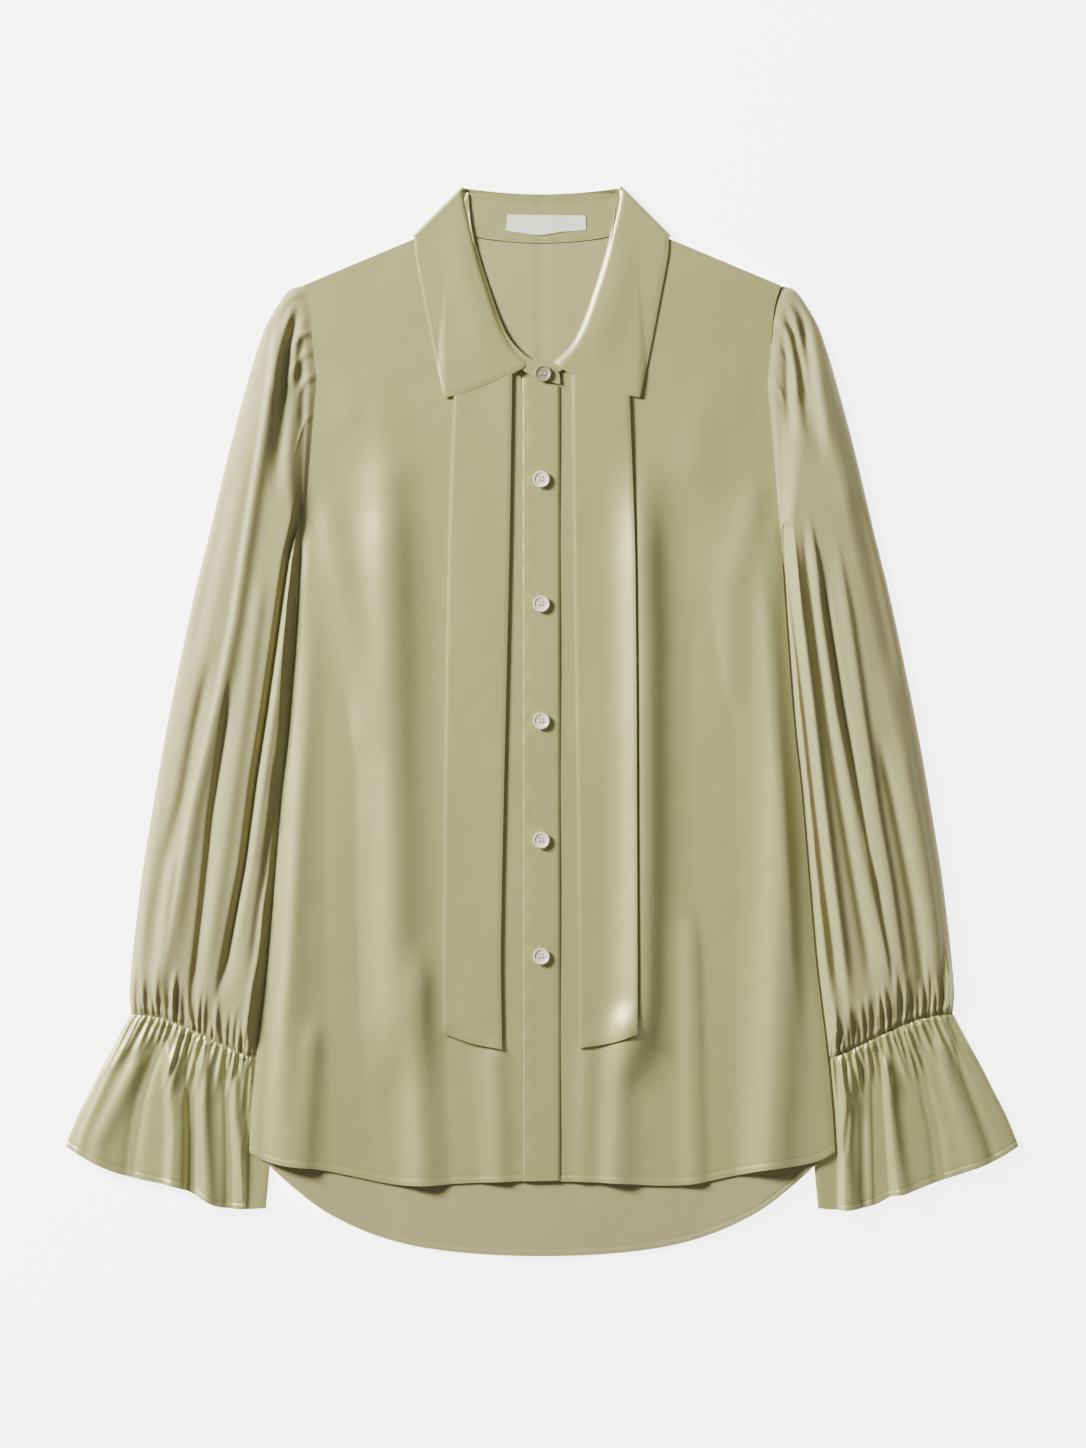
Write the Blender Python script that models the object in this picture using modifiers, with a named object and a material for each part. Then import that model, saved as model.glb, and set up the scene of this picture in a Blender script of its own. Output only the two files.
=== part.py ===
import math
from collections import namedtuple

import bmesh
import bpy
from mathutils import Vector

for old in list(bpy.data.objects):
    bpy.data.objects.remove(old, do_unlink=True)

MM = 0.001

# Cloth wall, seam and layer gaps, in millimetres
WALL = 1.1
SEAM_GAP = 0.4
ARMHOLE_GAP = 0.7
ROW_CROWDING = 1.4
LAYER_GAP = 0.4
STEP = WALL + LAYER_GAP

# Body, in millimetres from the middle of the laid-out blouse
SHOULDER_HALF = 191.0
SHOULDER_Y = 348.5
NECK_HALF = 76.8
NECK_Y = 396.4
UNDERARM_Y = 152.0
HEM_CORNER_HALF = 234.0
HEM_CORNER_Y = -344.0
PLACKET_LEFT = -15.6
PLACKET_RIGHT = 14.3
PLACKET_TOP_Y = 270.0
FRONT_HEM_MIDDLE_Y = -367.5
SIDE_LIFT = 2 * WALL + 0.3 + LAYER_GAP
COLLAR_LIFT_START_Y = 272.0
COLLAR_LIFT_FULL_Y = 361.0

# Sleeves, flounces, buttons and label, in millimetres
SLEEVE_CROWN = 6.5
ARMHOLE_TOP = 4.0
WRIST_TOP = 4.4
PINCHED_TOP = 2 * WALL + 0.3
FLOUNCE_HOLLOW = 3.2
GATHERS = 22
GATHER_RISE = 0.7
BUTTON_RADIUS = 6.5
BUTTON_THICKNESS = 2.4
BUTTON_RIM = 1.1
BUTTON_DISH = 0.6
BUTTON_HOLE_RADIUS = 0.75
BUTTON_HOLE_OFFSET = 1.35
BUTTON_X = -0.5
TOP_BUTTON_X = 0.8
TOP_BUTTON_Y = 278.0

Side = namedtuple("Side", "y half_width")
Edge = namedtuple("Edge", "x y")
Fold = namedtuple("Fold", "path width rise")
Ruffle = namedtuple("Ruffle", "at_wrist at_hem width rise")
Band = namedtuple("Band", "low_x low_y high_x high_y")

# Half width of the body down the armhole and side seam
BODY_SIDE = [
    Side(348.5, 191.0), Side(333.0, 186.2), Side(307.0, 183.6), Side(272.0, 181.5),
    Side(248.0, 183.6), Side(198.0, 188.2), Side(155.0, 191.6), Side(129.0, 192.2),
    Side(88.0, 194.6), Side(-4.0, 201.6), Side(-55.0, 207.2), Side(-126.0, 213.2),
    Side(-191.0, 218.8), Side(-225.0, 222.8), Side(-260.0, 227.2), Side(-311.0, 232.0),
    Side(-344.0, 234.0),
]

# Lower edges from the middle out to the side seam, as distance from the middle and height
FRONT_HEM = [
    Edge(0.0, -367.5), Edge(32.0, -368.0), Edge(67.0, -369.5), Edge(93.0, -371.0),
    Edge(119.0, -370.0), Edge(154.0, -363.0), Edge(179.0, -357.8), Edge(205.0, -354.6),
    Edge(222.0, -350.5), Edge(234.0, -344.0),
]
BACK_HEM = [
    Edge(0.0, -427.8), Edge(32.0, -427.2), Edge(66.0, -424.8), Edge(99.0, -420.2),
    Edge(128.0, -412.8), Edge(152.0, -403.2), Edge(174.0, -391.4), Edge(191.0, -379.0),
    Edge(209.0, -363.5), Edge(221.0, -352.5), Edge(234.0, -344.0),
]
BACK_NECK = [Edge(0.0, 382.0), Edge(27.0, 383.2), Edge(53.6, 387.0), Edge(76.8, 396.4)]
FRONT_NECK = [
    Edge(76.8, 396.4), Edge(73.0, 380.0), Edge(62.5, 352.0), Edge(50.0, 322.0),
    Edge(36.0, 297.0), Edge(17.8, 277.0),
]

# Sleeve outline, as distance from the middle and height
SLEEVE_OUTER = [
    Edge(191.9, 348.4), Edge(200.8, 345.4), Edge(207.0, 338.8), Edge(219.6, 318.0),
    Edge(226.8, 298.8), Edge(232.8, 279.6), Edge(248.4, 222.0), Edge(266.8, 145.2),
    Edge(276.4, 106.8), Edge(284.8, 68.4), Edge(300.4, -8.4), Edge(313.6, -85.2),
    Edge(319.6, -123.6), Edge(324.4, -162.0), Edge(328.4, -200.4), Edge(329.4, -219.6),
    Edge(328.2, -233.0),
]
SLEEVE_INNER = [
    Edge(192.9, 152.0), Edge(192.7, 122.0), Edge(193.4, 88.0), Edge(197.6, -4.0),
    Edge(201.0, -55.0), Edge(204.4, -126.0), Edge(208.0, -191.0), Edge(211.0, -235.0),
    Edge(213.6, -274.0),
]
WRIST = [
    Edge(328.2, -233.0), Edge(315.0, -234.6), Edge(299.6, -238.0), Edge(285.6, -243.6),
    Edge(271.0, -250.2), Edge(256.8, -257.2), Edge(242.4, -264.0), Edge(228.0, -270.0),
    Edge(213.6, -274.0),
]

# Flounce outline
FLOUNCE_OUTER = [
    Edge(330.0, -235.8), Edge(342.0, -258.0), Edge(352.4, -277.2), Edge(362.0, -296.4),
    Edge(371.6, -315.2), Edge(381.6, -339.5),
]
FLOUNCE_INNER = [Edge(213.0, -275.4), Edge(214.0, -310.0), Edge(216.6, -350.0), Edge(220.0, -389.2)]
FLOUNCE_HEM_LEFT = [
    Edge(381.6, -339.5), Edge(357.0, -353.6), Edge(337.6, -361.8), Edge(316.0, -367.0),
    Edge(296.0, -371.2), Edge(284.0, -375.0), Edge(273.6, -380.6), Edge(261.6, -386.8),
    Edge(252.0, -389.0), Edge(236.0, -390.0), Edge(220.0, -389.2),
]
FLOUNCE_HEM_RIGHT = [
    Edge(381.6, -339.5), Edge(361.6, -351.4), Edge(333.6, -362.0), Edge(308.8, -370.6),
    Edge(290.4, -377.6), Edge(279.0, -379.8), Edge(267.2, -386.0), Edge(247.2, -390.4),
    Edge(233.0, -390.4), Edge(220.0, -389.2),
]

# Sleeve folds, as distance from the middle and height; a negative rise is a valley
LEFT_SLEEVE_FOLDS = [
    Fold([(211, 323), (222, 232), (238, 129), (256, 27), (278, -64), (297, -183)], 9.0, 3.0),
    Fold([(190, 335), (201, 303), (206, 279), (209, 225), (212, 184)], 5.5, -3.0),
    Fold([(184, 317), (192, 293), (196, 262)], 4.5, -1.6),
    Fold([(196, 178), (204, 126), (212, 76), (220, 19), (230, -39), (239, -105), (250, -172)],
         7.5, -5.5),
    Fold([(282, -4), (300, -96), (310, -158), (314, -205)], 7.0, -2.6),
    Fold([(256, -20), (266, -96), (274, -160), (280, -205)], 6.5, -2.8),
    Fold([(246, 60), (262, -20), (284, -110), (294, -170)], 8.0, 1.6),
    Fold([(232, 250), (246, 180), (262, 90)], 9.0, -1.4),
]
RIGHT_SLEEVE_FOLDS = [
    Fold([(199, 346), (210, 323), (213, 284), (220, 240), (230, 190)], 6.0, -3.6),
    Fold([(188, 335), (200, 309), (207, 281), (210, 254), (213, 215)], 5.0, -2.6),
    Fold([(185, 316), (192, 305), (196, 286), (200, 250)], 4.5, -1.6),
    Fold([(203, 129), (211, 60), (219, 0), (227, -60), (236, -122), (246, -190)], 7.0, -5.0),
    Fold([(218, 129), (226, 68), (235, 7), (246, -45), (256, -91), (268, -160)], 6.5, 2.6),
    Fold([(227, 88), (238, 18), (251, -50), (264, -116), (272, -165)], 5.5, -2.2),
    Fold([(244, 88), (258, -9), (271, -98), (280, -160), (286, -205)], 8.5, 2.4),
    Fold([(281, -64), (297, -146), (308, -205)], 7.0, -2.4),
    Fold([(240, 250), (256, 160), (272, 70)], 9.0, -1.3),
]

# Flounce waves, as shares of the way from the outer edge inward
LEFT_RUFFLES = [
    Ruffle(0.06, 0.10, 0.050, 2.2), Ruffle(0.22, 0.34, 0.070, 3.6), Ruffle(0.38, 0.56, 0.055, 5.2),
    Ruffle(0.46, 0.655, 0.030, -4.4), Ruffle(0.56, 0.74, 0.040, 5.6), Ruffle(0.68, 0.83, 0.026, -2.4),
    Ruffle(0.76, 0.89, 0.034, 2.8),
]
RIGHT_RUFFLES = [
    Ruffle(0.08, 0.12, 0.055, 2.4), Ruffle(0.20, 0.27, 0.045, -1.2), Ruffle(0.30, 0.42, 0.060, 4.0),
    Ruffle(0.44, 0.585, 0.045, 5.4), Ruffle(0.52, 0.66, 0.028, -4.4), Ruffle(0.62, 0.76, 0.045, 5.0),
    Ruffle(0.72, 0.86, 0.024, -1.8), Ruffle(0.80, 0.91, 0.030, 2.2),
]

# Broad soft waves of the fronts, as true x and height
FRONT_WAVES = [
    Fold([(-118, 120), (-116, -60), (-112, -230), (-108, -372)], 22.0, 1.2),
    Fold([(-168, 60), (-176, -120), (-186, -270), (-192, -358)], 17.0, 1.4),
    Fold([(-60, -262), (-64, -320), (-66, -370)], 15.0, 1.1),
    Fold([(52, -262), (54, -320), (55, -370)], 15.0, 1.0),
    Fold([(92, 160), (100, -40), (104, -220), (104, -372)], 17.0, 1.3),
    Fold([(150, 120), (160, -80), (172, -250), (178, -358)], 19.0, 1.3),
]

# Ties, as true x and height
LEFT_TIE_OUTER = [Edge(-69.4, 284.0), Edge(-75.2, 129.2), Edge(-79.2, -174.8), Edge(-79.2, -249.2)]
LEFT_TIE_INNER = [Edge(-23.8, 280.5), Edge(-26.2, 129.2), Edge(-32.8, -174.8), Edge(-32.0, -262.0)]
LEFT_TIE_END = [Edge(-79.2, -249.2), Edge(-57.0, -257.2), Edge(-32.0, -262.0)]
RIGHT_TIE_INNER = [Edge(23.8, 280.5), Edge(25.4, 129.2), Edge(29.4, -174.8), Edge(29.6, -261.0)]
RIGHT_TIE_OUTER = [Edge(69.2, 284.0), Edge(74.2, 129.2), Edge(76.0, -174.8), Edge(76.0, -249.2)]
RIGHT_TIE_END = [Edge(29.6, -261.0), Edge(54.0, -257.0), Edge(76.0, -249.2)]

# Collar stand, half of the band from the fold at the neck side to the front end
STAND_BACK = [
    Band(0.0, 382.6, 0.0, 421.0), Band(27.0, 383.8, 27.0, 421.6), Band(53.0, 387.8, 50.0, 422.2),
    Band(73.0, 395.2, 59.0, 422.6),
]
STAND_FRONT = [
    Band(73.0, 395.2, 59.0, 422.6), Band(71.4, 380.0, 56.6, 396.0), Band(60.6, 352.8, 49.0, 360.0),
    Band(47.8, 323.4, 38.6, 329.6), Band(33.4, 299.4, 26.6, 306.6), Band(15.6, 281.0, 12.6, 292.0),
]
OVERLAP_END = [
    Band(0.0, 273.0, -1.0, 286.4), Band(9.0, 270.8, 8.4, 282.6), Band(14.4, 269.6, 14.0, 277.6),
]
UNDERLAP_END = [Band(2.0, 276.6, 2.4, 289.4), Band(-8.6, 279.0, -8.0, 289.8)]

# Collar leaf, right half
LEAF_INNER = [
    Edge(62.0, 426.4), Edge(60.0, 413.0), Edge(54.6, 390.0), Edge(50.0, 371.0),
    Edge(40.8, 342.0), Edge(32.2, 318.4), Edge(21.8, 300.2), Edge(9.2, 288.0),
]
LEAF_OUTER = [
    Edge(101.6, 386.8), Edge(101.0, 374.0), Edge(96.4, 348.4), Edge(84.8, 288.4),
    Edge(78.2, 258.8),
]
LEAF_END = [Edge(9.2, 288.0), Edge(17.4, 281.0), Edge(39.0, 271.6), Edge(62.0, 262.4), Edge(78.2, 258.8)]
LEAF_BACK_TOP = [Edge(62.0, 426.4), Edge(40.0, 423.8), Edge(20.0, 422.2), Edge(0.0, 421.6)]
LEAF_BACK_LOW = [Edge(101.6, 386.8), Edge(74.0, 372.0), Edge(38.0, 366.0), Edge(0.0, 364.4)]

# Label and buttons
LABEL_TOP = [Edge(-27.6, 405.2), Edge(3.0, 404.8), Edge(34.8, 404.4)]
LABEL_LOW = [Edge(-28.4, 392.4), Edge(-1.6, 389.0), Edge(15.0, 391.4), Edge(35.2, 393.2)]
BUTTON_ROWS_Y = [193.6, 94.0, 0.4, -94.8, -187.6]


def smooth(low, high, value):
    share = min(max((value - low) / (high - low), 0.0), 1.0)
    return share * share * (3.0 - 2.0 * share)


def curve(points):
    spots = [Vector((point[0], point[1])) for point in points]
    run = [0.0]
    for before, after in zip(spots, spots[1:]):
        run.append(run[-1] + (after - before).length)
    last = len(spots) - 1

    def tangent(i):
        first = max(i - 1, 0)
        second = min(i + 1, last)
        return (spots[second] - spots[first]) / (run[second] - run[first])

    def at(share):
        way = min(max(share, 0.0), 1.0) * run[-1]
        i = 0
        while i < last - 1 and run[i + 1] < way:
            i += 1
        span = run[i + 1] - run[i]
        k = (way - run[i]) / span
        start = spots[i] * (2 * k ** 3 - 3 * k ** 2 + 1) + tangent(i) * span * (k ** 3 - 2 * k ** 2 + k)
        end = spots[i + 1] * (3 * k ** 2 - 2 * k ** 3) + tangent(i + 1) * span * (k ** 3 - k ** 2)
        return start + end

    return at


def joined(*curves):
    def at(share):
        place = min(max(share, 0.0), 1.0) * len(curves)
        i = min(int(place), len(curves) - 1)
        return curves[i](place - i)

    return at


def mirrored(points, side):
    return [Edge(point[0] * side, point[1]) for point in points]


def line(first, second):
    start = Vector(first)
    end = Vector(second)
    return lambda share: start.lerp(end, share)


def crowded(spot):
    return lambda u, v: spot(u, v ** ROW_CROWDING)


def patch(top, bottom, left, right):
    def at(u, v):
        edges = top(u) * (1 - v) + bottom(u) * v + left(v) * (1 - u) + right(v) * u
        upper = top(0.0) * (1 - u) + top(1.0) * u
        lower = bottom(0.0) * (1 - u) + bottom(1.0) * u
        return edges - upper * (1 - v) - lower * v

    return at


def body_half(y):
    if y >= BODY_SIDE[0].y:
        return BODY_SIDE[0].half_width
    for upper, lower in zip(BODY_SIDE, BODY_SIDE[1:]):
        if y >= lower.y:
            share = (upper.y - y) / (upper.y - lower.y)
            return upper.half_width + (lower.half_width - upper.half_width) * share
    return BODY_SIDE[-1].half_width


def fold_height(folds, x, y):
    spot = Vector((x, y))
    total = 0.0
    for fold in folds:
        best = None
        count = len(fold.path) - 1
        for i in range(count):
            start = Vector(fold.path[i])
            run = Vector(fold.path[i + 1]) - start
            share = min(max((spot - start).dot(run) / run.length_squared, 0.0), 1.0)
            gap = (spot - start - run * share).length
            if best is None or gap < best[0]:
                best = (gap, (i + share) / count)
        ends = smooth(0.0, 0.18, best[1]) * smooth(0.0, 0.14, 1.0 - best[1])
        total += fold.rise * ends * math.exp(-(best[0] / fold.width) ** 2)
    return total


def back_under(x, y):
    collar = STEP * smooth(COLLAR_LIFT_START_Y, COLLAR_LIFT_FULL_Y, y)
    inside = body_half(y) - abs(x)
    sides = SIDE_LIFT * smooth(112.0, 28.0, inside) * smooth(UNDERARM_Y + 20.0, 110.0, y)
    return max(collar, sides)


def front_under(x, y):
    calm = smooth(250.0, 190.0, y) * smooth(12.0, 34.0, body_half(y) - abs(x))
    calm *= smooth(16.0, 34.0, abs(x))
    waves = max(fold_height(FRONT_WAVES, x, y), 0.0) * calm
    return back_under(x, y) + STEP + waves


def over_front(x, y):
    return front_under(x, y) + STEP


def leaf_under(x, y):
    tie = 3 * STEP * smooth(104.0, 80.0, abs(x))
    return max(over_front(x, y), tie)


def material(name, colour, roughness):
    made = bpy.data.materials.new(name)
    made.use_nodes = True
    shader = made.node_tree.nodes["Principled BSDF"]
    shader.inputs["Base Color"].default_value = (*colour, 1.0)
    shader.inputs["Roughness"].default_value = roughness
    shader.inputs["Metallic"].default_value = 0.0
    made.diffuse_color = (*colour, 1.0)
    return made


SATIN = (0.43, 0.41, 0.24)
SATIN_SHADE = (0.40, 0.38, 0.22)
BUTTON_CREAM = (0.82, 0.76, 0.60)
BUTTON_OLIVE = (0.30, 0.28, 0.15)
LABEL_CREAM = (0.86, 0.80, 0.71)

blouse = bpy.data.collections.new("blouse")
bpy.context.scene.collection.children.link(blouse)
cutters = bpy.data.collections.new("cutters")
bpy.context.scene.collection.children.link(cutters)


def add_object(name, bm, colour, roughness=0.4):
    mesh = bpy.data.meshes.new(name)
    bm.to_mesh(mesh)
    bm.free()
    made = bpy.data.objects.new(name, mesh)
    blouse.objects.link(made)
    mesh.materials.append(material(name + "_cloth", colour, roughness))
    return made


def smooth_faces(bm):
    for face in bm.faces:
        face.smooth = True


def cloth(name, spot, under, columns, rows, colour=SATIN):
    bm = bmesh.new()
    bmesh.ops.create_grid(bm, x_segments=columns, y_segments=rows, size=0.5)
    for vert in bm.verts:
        x, y = spot(vert.co.x + 0.5, 0.5 - vert.co.y)
        vert.co = Vector((x, y, under(x, y))) * MM
    bm.normal_update()
    if sum(face.normal.z for face in bm.faces) < 0:
        bmesh.ops.reverse_faces(bm, faces=bm.faces)
    smooth_faces(bm)
    made = add_object(name, bm, colour)
    wall = made.modifiers.new("cloth wall", "SOLIDIFY")
    wall.thickness = WALL * MM
    wall.offset = 1.0
    return made


def folded_strip(name, sections, across, colour=SATIN):
    bm = bmesh.new()
    bmesh.ops.create_grid(bm, x_segments=across, y_segments=len(sections) - 1, size=0.5)
    for vert in bm.verts:
        row = round((0.5 - vert.co.y) * (len(sections) - 1))
        vert.co = sections[row](vert.co.x + 0.5) * MM
    smooth_faces(bm)
    made = add_object(name, bm, colour)
    wall = made.modifiers.new("cloth wall", "SOLIDIFY")
    wall.thickness = WALL * MM
    wall.offset = 0.0
    return made


def tube(name, spot, top_height, under_height, top_columns, under_columns, rows, colour=SATIN):
    tops = []
    for row in range(rows + 1):
        v = row / rows
        ring = []
        for column in range(top_columns + 1):
            u = column / top_columns
            x, y = spot(u, v)
            ring.append(Vector((x, y, top_height(u, v, x, y))))
        tops.append(ring)

    def steepness(row, column):
        before = tops[max(row - 1, 0)][column]
        after = tops[min(row + 1, rows)][column]
        outer = tops[row][max(column - 1, 0)]
        inner = tops[row][min(column + 1, top_columns)]
        return max(abs((after - before).cross(inner - outer).normalized().z), 0.55)

    bm = bmesh.new()
    outside = []
    inside = []
    for row in range(rows + 1):
        v = row / rows
        width = (tops[row][0] - tops[row][-1]).length
        trim = WALL / width
        outer_ring = []
        inner_ring = []
        for column in range(top_columns + 1):
            u = column / top_columns
            top = tops[row][column]
            outer_ring.append(bm.verts.new(top * MM))
            x, y = spot(trim + u * (1 - 2 * trim), v)
            floor = under_height(u, v, x, y) + WALL + 0.25
            height = max(top.z - WALL / steepness(row, column), floor)
            inner_ring.append(bm.verts.new(Vector((x, y, height)) * MM))
        for column in range(under_columns, -1, -1):
            u = column / under_columns
            x, y = spot(u, v)
            outer_ring.append(bm.verts.new(Vector((x, y, under_height(u, v, x, y))) * MM))
            x, y = spot(trim + u * (1 - 2 * trim), v)
            inner_ring.append(bm.verts.new(Vector((x, y, under_height(u, v, x, y) + WALL)) * MM))
        outside.append(outer_ring)
        inside.append(inner_ring)

    count = len(outside[0])
    for column in range(count):
        after = (column + 1) % count
        for row in range(rows):
            upper = outside[row]
            lower = outside[row + 1]
            bm.faces.new((upper[column], upper[after], lower[after], lower[column]))
            upper = inside[row]
            lower = inside[row + 1]
            bm.faces.new((upper[column], lower[column], lower[after], upper[after]))
        for row, flip in ((0, False), (rows, True)):
            rim = [outside[row][column], inside[row][column], inside[row][after], outside[row][after]]
            if flip:
                rim.reverse()
            bm.faces.new(rim)
    bmesh.ops.recalc_face_normals(bm, faces=bm.faces)
    smooth_faces(bm)
    return add_object(name, bm, colour)


# Back, one panel from shoulder to shirt-tail hem
def body_side(side):
    return curve([Edge(row.half_width * side, row.y) for row in BODY_SIDE])


def shoulder_line(side):
    return line((SHOULDER_HALF * side, SHOULDER_Y), (NECK_HALF * side, NECK_Y))


def reverse(path):
    return lambda share: path(1.0 - share)


back_neck = curve(mirrored(BACK_NECK[::-1], -1) + mirrored(BACK_NECK[1:], 1))
back_top = joined(shoulder_line(-1), back_neck, reverse(shoulder_line(1)))
back_hem = curve(mirrored(BACK_HEM[::-1], -1) + mirrored(BACK_HEM[1:], 1))
back_spot = patch(back_top, back_hem, body_side(-1), body_side(1))
cloth("back", crowded(back_spot), back_under, 18, 27, SATIN_SHADE)


# Fronts, each from its shoulder and neckline to the hem
def front_spot(side, middle_x):
    neck = curve(mirrored(FRONT_NECK, side) + [Edge(middle_x, PLACKET_TOP_Y + 1.0)])
    top = joined(shoulder_line(side), neck)
    hem_points = [point for point in FRONT_HEM if point.x > abs(middle_x) + 4.0]
    hem = curve([Edge(middle_x, FRONT_HEM_MIDDLE_Y)] + mirrored(hem_points, side))
    middle = line((middle_x, PLACKET_TOP_Y + 1.0), (middle_x, FRONT_HEM_MIDDLE_Y))
    return patch(top, reverse(hem), body_side(side), middle)


cloth("front_left", crowded(front_spot(-1, PLACKET_LEFT - SEAM_GAP)), front_under, 16, 27)
cloth("front_right", crowded(front_spot(1, PLACKET_LEFT + SEAM_GAP)), front_under, 16, 27)

placket_spot = patch(
    line((PLACKET_LEFT, PLACKET_TOP_Y + 5.0), (PLACKET_RIGHT, PLACKET_TOP_Y - 2.0)),
    line((PLACKET_LEFT, FRONT_HEM_MIDDLE_Y), (PLACKET_RIGHT, FRONT_HEM_MIDDLE_Y + 0.6)),
    line((PLACKET_LEFT, PLACKET_TOP_Y + 5.0), (PLACKET_LEFT, FRONT_HEM_MIDDLE_Y)),
    line((PLACKET_RIGHT, PLACKET_TOP_Y - 2.0), (PLACKET_RIGHT, FRONT_HEM_MIDDLE_Y + 0.6)),
)
cloth("button_placket", placket_spot, over_front, 4, 24)

# Hanging ties
for name, left, right, end in (
    ("tie_left", LEFT_TIE_OUTER, LEFT_TIE_INNER, LEFT_TIE_END),
    ("tie_right", RIGHT_TIE_INNER, RIGHT_TIE_OUTER, RIGHT_TIE_END),
):
    tie_spot = patch(line(left[0], right[0]), curve(end), curve(left), curve(right))
    cloth(name, tie_spot, over_front, 5, 20)


# Collar, as strips with a turn at each side of the neck
def fold_turn(inner, outer, high, low, steps):
    sections = []
    along = (Vector(outer) - Vector(inner)).normalized()
    away = Vector((-along.y, along.x))
    if away.dot(Vector(inner)) < 0:
        away.negate()
    middle = (high + low) / 2
    radius = (high - low) / 2
    for step in range(1, steps):
        angle = math.pi / 2 - math.pi * step / steps
        reach = away * radius * math.cos(angle)
        height = middle + radius * math.sin(angle)

        def section(share, reach=reach, height=height):
            spot = Vector(inner).lerp(Vector(outer), share) + reach
            return Vector((spot.x, spot.y, height))

        sections.append(section)
    return sections


def leaf_half(side):
    front = patch(
        line(mirrored(LEAF_INNER, side)[0], mirrored(LEAF_OUTER, side)[0]),
        curve(mirrored(LEAF_END, side)),
        curve(mirrored(LEAF_INNER, side)),
        curve(mirrored(LEAF_OUTER, side)),
    )
    rows = 10
    sections = []
    for row in range(rows, -1, -1):

        def section(share, v=row / rows):
            x, y = front(share, v)
            return Vector((x, y, leaf_under(x, y) + WALL / 2))

        sections.append(section)
    return sections


def leaf_back_section(share, v):
    side = 1 if v > 0.5 else -1
    way = 1 - abs(v * 2 - 1)
    top = curve(mirrored(LEAF_BACK_TOP, side))(way)
    low = curve(mirrored(LEAF_BACK_LOW, side))(way)
    spot = top.lerp(low, share)
    return Vector((spot.x, spot.y, WALL / 2))


def leaf_turn(side):
    inner = mirrored(LEAF_INNER, side)[0]
    outer = mirrored(LEAF_OUTER, side)[0]
    return fold_turn(inner, outer, 3 * STEP + WALL / 2, WALL / 2, 4)


back_rows = 10
leaf_back = [lambda share, v=row / back_rows: leaf_back_section(share, v) for row in range(back_rows + 1)]
leaf_sections = leaf_half(-1) + leaf_turn(-1) + leaf_back + leaf_turn(1)[::-1] + leaf_half(1)[::-1]
folded_strip("collar_leaf", leaf_sections, 8)


def band_section(row, side, height):
    low = Vector((row.low_x * side, row.low_y))
    high = Vector((row.high_x * side, row.high_y))

    def section(share):
        spot = high.lerp(low, share)
        return Vector((spot.x, spot.y, height + WALL / 2))

    return section


def stand_turn(side):
    row = STAND_FRONT[0]
    inner = (row.high_x * side, row.high_y)
    outer = (row.low_x * side, row.low_y)
    return fold_turn(inner, outer, 2 * STEP + WALL / 2, STEP + WALL / 2, 3)


stand_sections = [band_section(row, 1, 2 * STEP) for row in OVERLAP_END[::-1]]
stand_sections += [band_section(row, -1, 2 * STEP) for row in STAND_FRONT[::-1]]
stand_sections += stand_turn(-1)
stand_sections += [band_section(row, -1, STEP) for row in STAND_BACK[::-1]]
stand_sections += [band_section(row, 1, STEP) for row in STAND_BACK[1:]]
stand_sections += stand_turn(1)[::-1]
right_levels = [2.0, 2.0, 2.0, 1.8, 1.4, 1.0]
for row, level in zip(STAND_FRONT, right_levels):
    stand_sections.append(band_section(row, 1, level * STEP))
stand_sections += [band_section(row, 1, STEP) for row in UNDERLAP_END]
folded_strip("collar_stand", stand_sections, 3)

label_spot = patch(
    curve(LABEL_TOP), curve(LABEL_LOW), line(LABEL_TOP[0], LABEL_LOW[0]), line(LABEL_TOP[-1], LABEL_LOW[-1])
)
cloth("neck_label", label_spot, lambda x, y: STEP + WALL + SEAM_GAP, 6, 2, LABEL_CREAM)


# Sleeves and their gathered flounces
def armhole(side):
    points = [Edge(row.half_width + ARMHOLE_GAP, row.y) for row in BODY_SIDE if row.y > UNDERARM_Y]
    return curve(mirrored([SLEEVE_OUTER[0]] + points[1:] + [SLEEVE_INNER[0]], side))


def beside_body(x, y, height):
    clear = abs(x) - body_half(y) - 2.0
    open_share = smooth(UNDERARM_Y, UNDERARM_Y + 26.0, y)
    limit = PINCHED_TOP + max(clear, 0.0) * 1.1
    return min(height, limit + 14.0 * open_share)


def gather(u):
    return GATHER_RISE * math.cos(math.pi * 2 * GATHERS * u)


def crown(u, v):
    outer = math.sqrt(smooth(0.0, 0.16, u + 0.006))
    inner = smooth(1.0, 0.80, u)
    puff = smooth(0.0, 0.13, v) * smooth(1.0, 0.90, v)
    ends = ARMHOLE_TOP + (WRIST_TOP - ARMHOLE_TOP) * v
    return PINCHED_TOP + (ends - PINCHED_TOP + SLEEVE_CROWN * puff) * outer * inner


def sleeve_top(folds):
    def height(u, v, x, y):
        rise = fold_height(folds, abs(x), y) * smooth(0.0, 0.08, u) * smooth(0.0, 0.05, v)
        tucked = gather(u) * smooth(0.90, 0.99, v) * smooth(0.0, 0.04, u) * smooth(1.0, 0.93, u)
        rise *= smooth(1.0, 0.92, v)
        full = max(crown(u, v) + rise, PINCHED_TOP) + max(tucked, -0.5)
        return max(beside_body(x, y, full), PINCHED_TOP)

    return height


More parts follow.
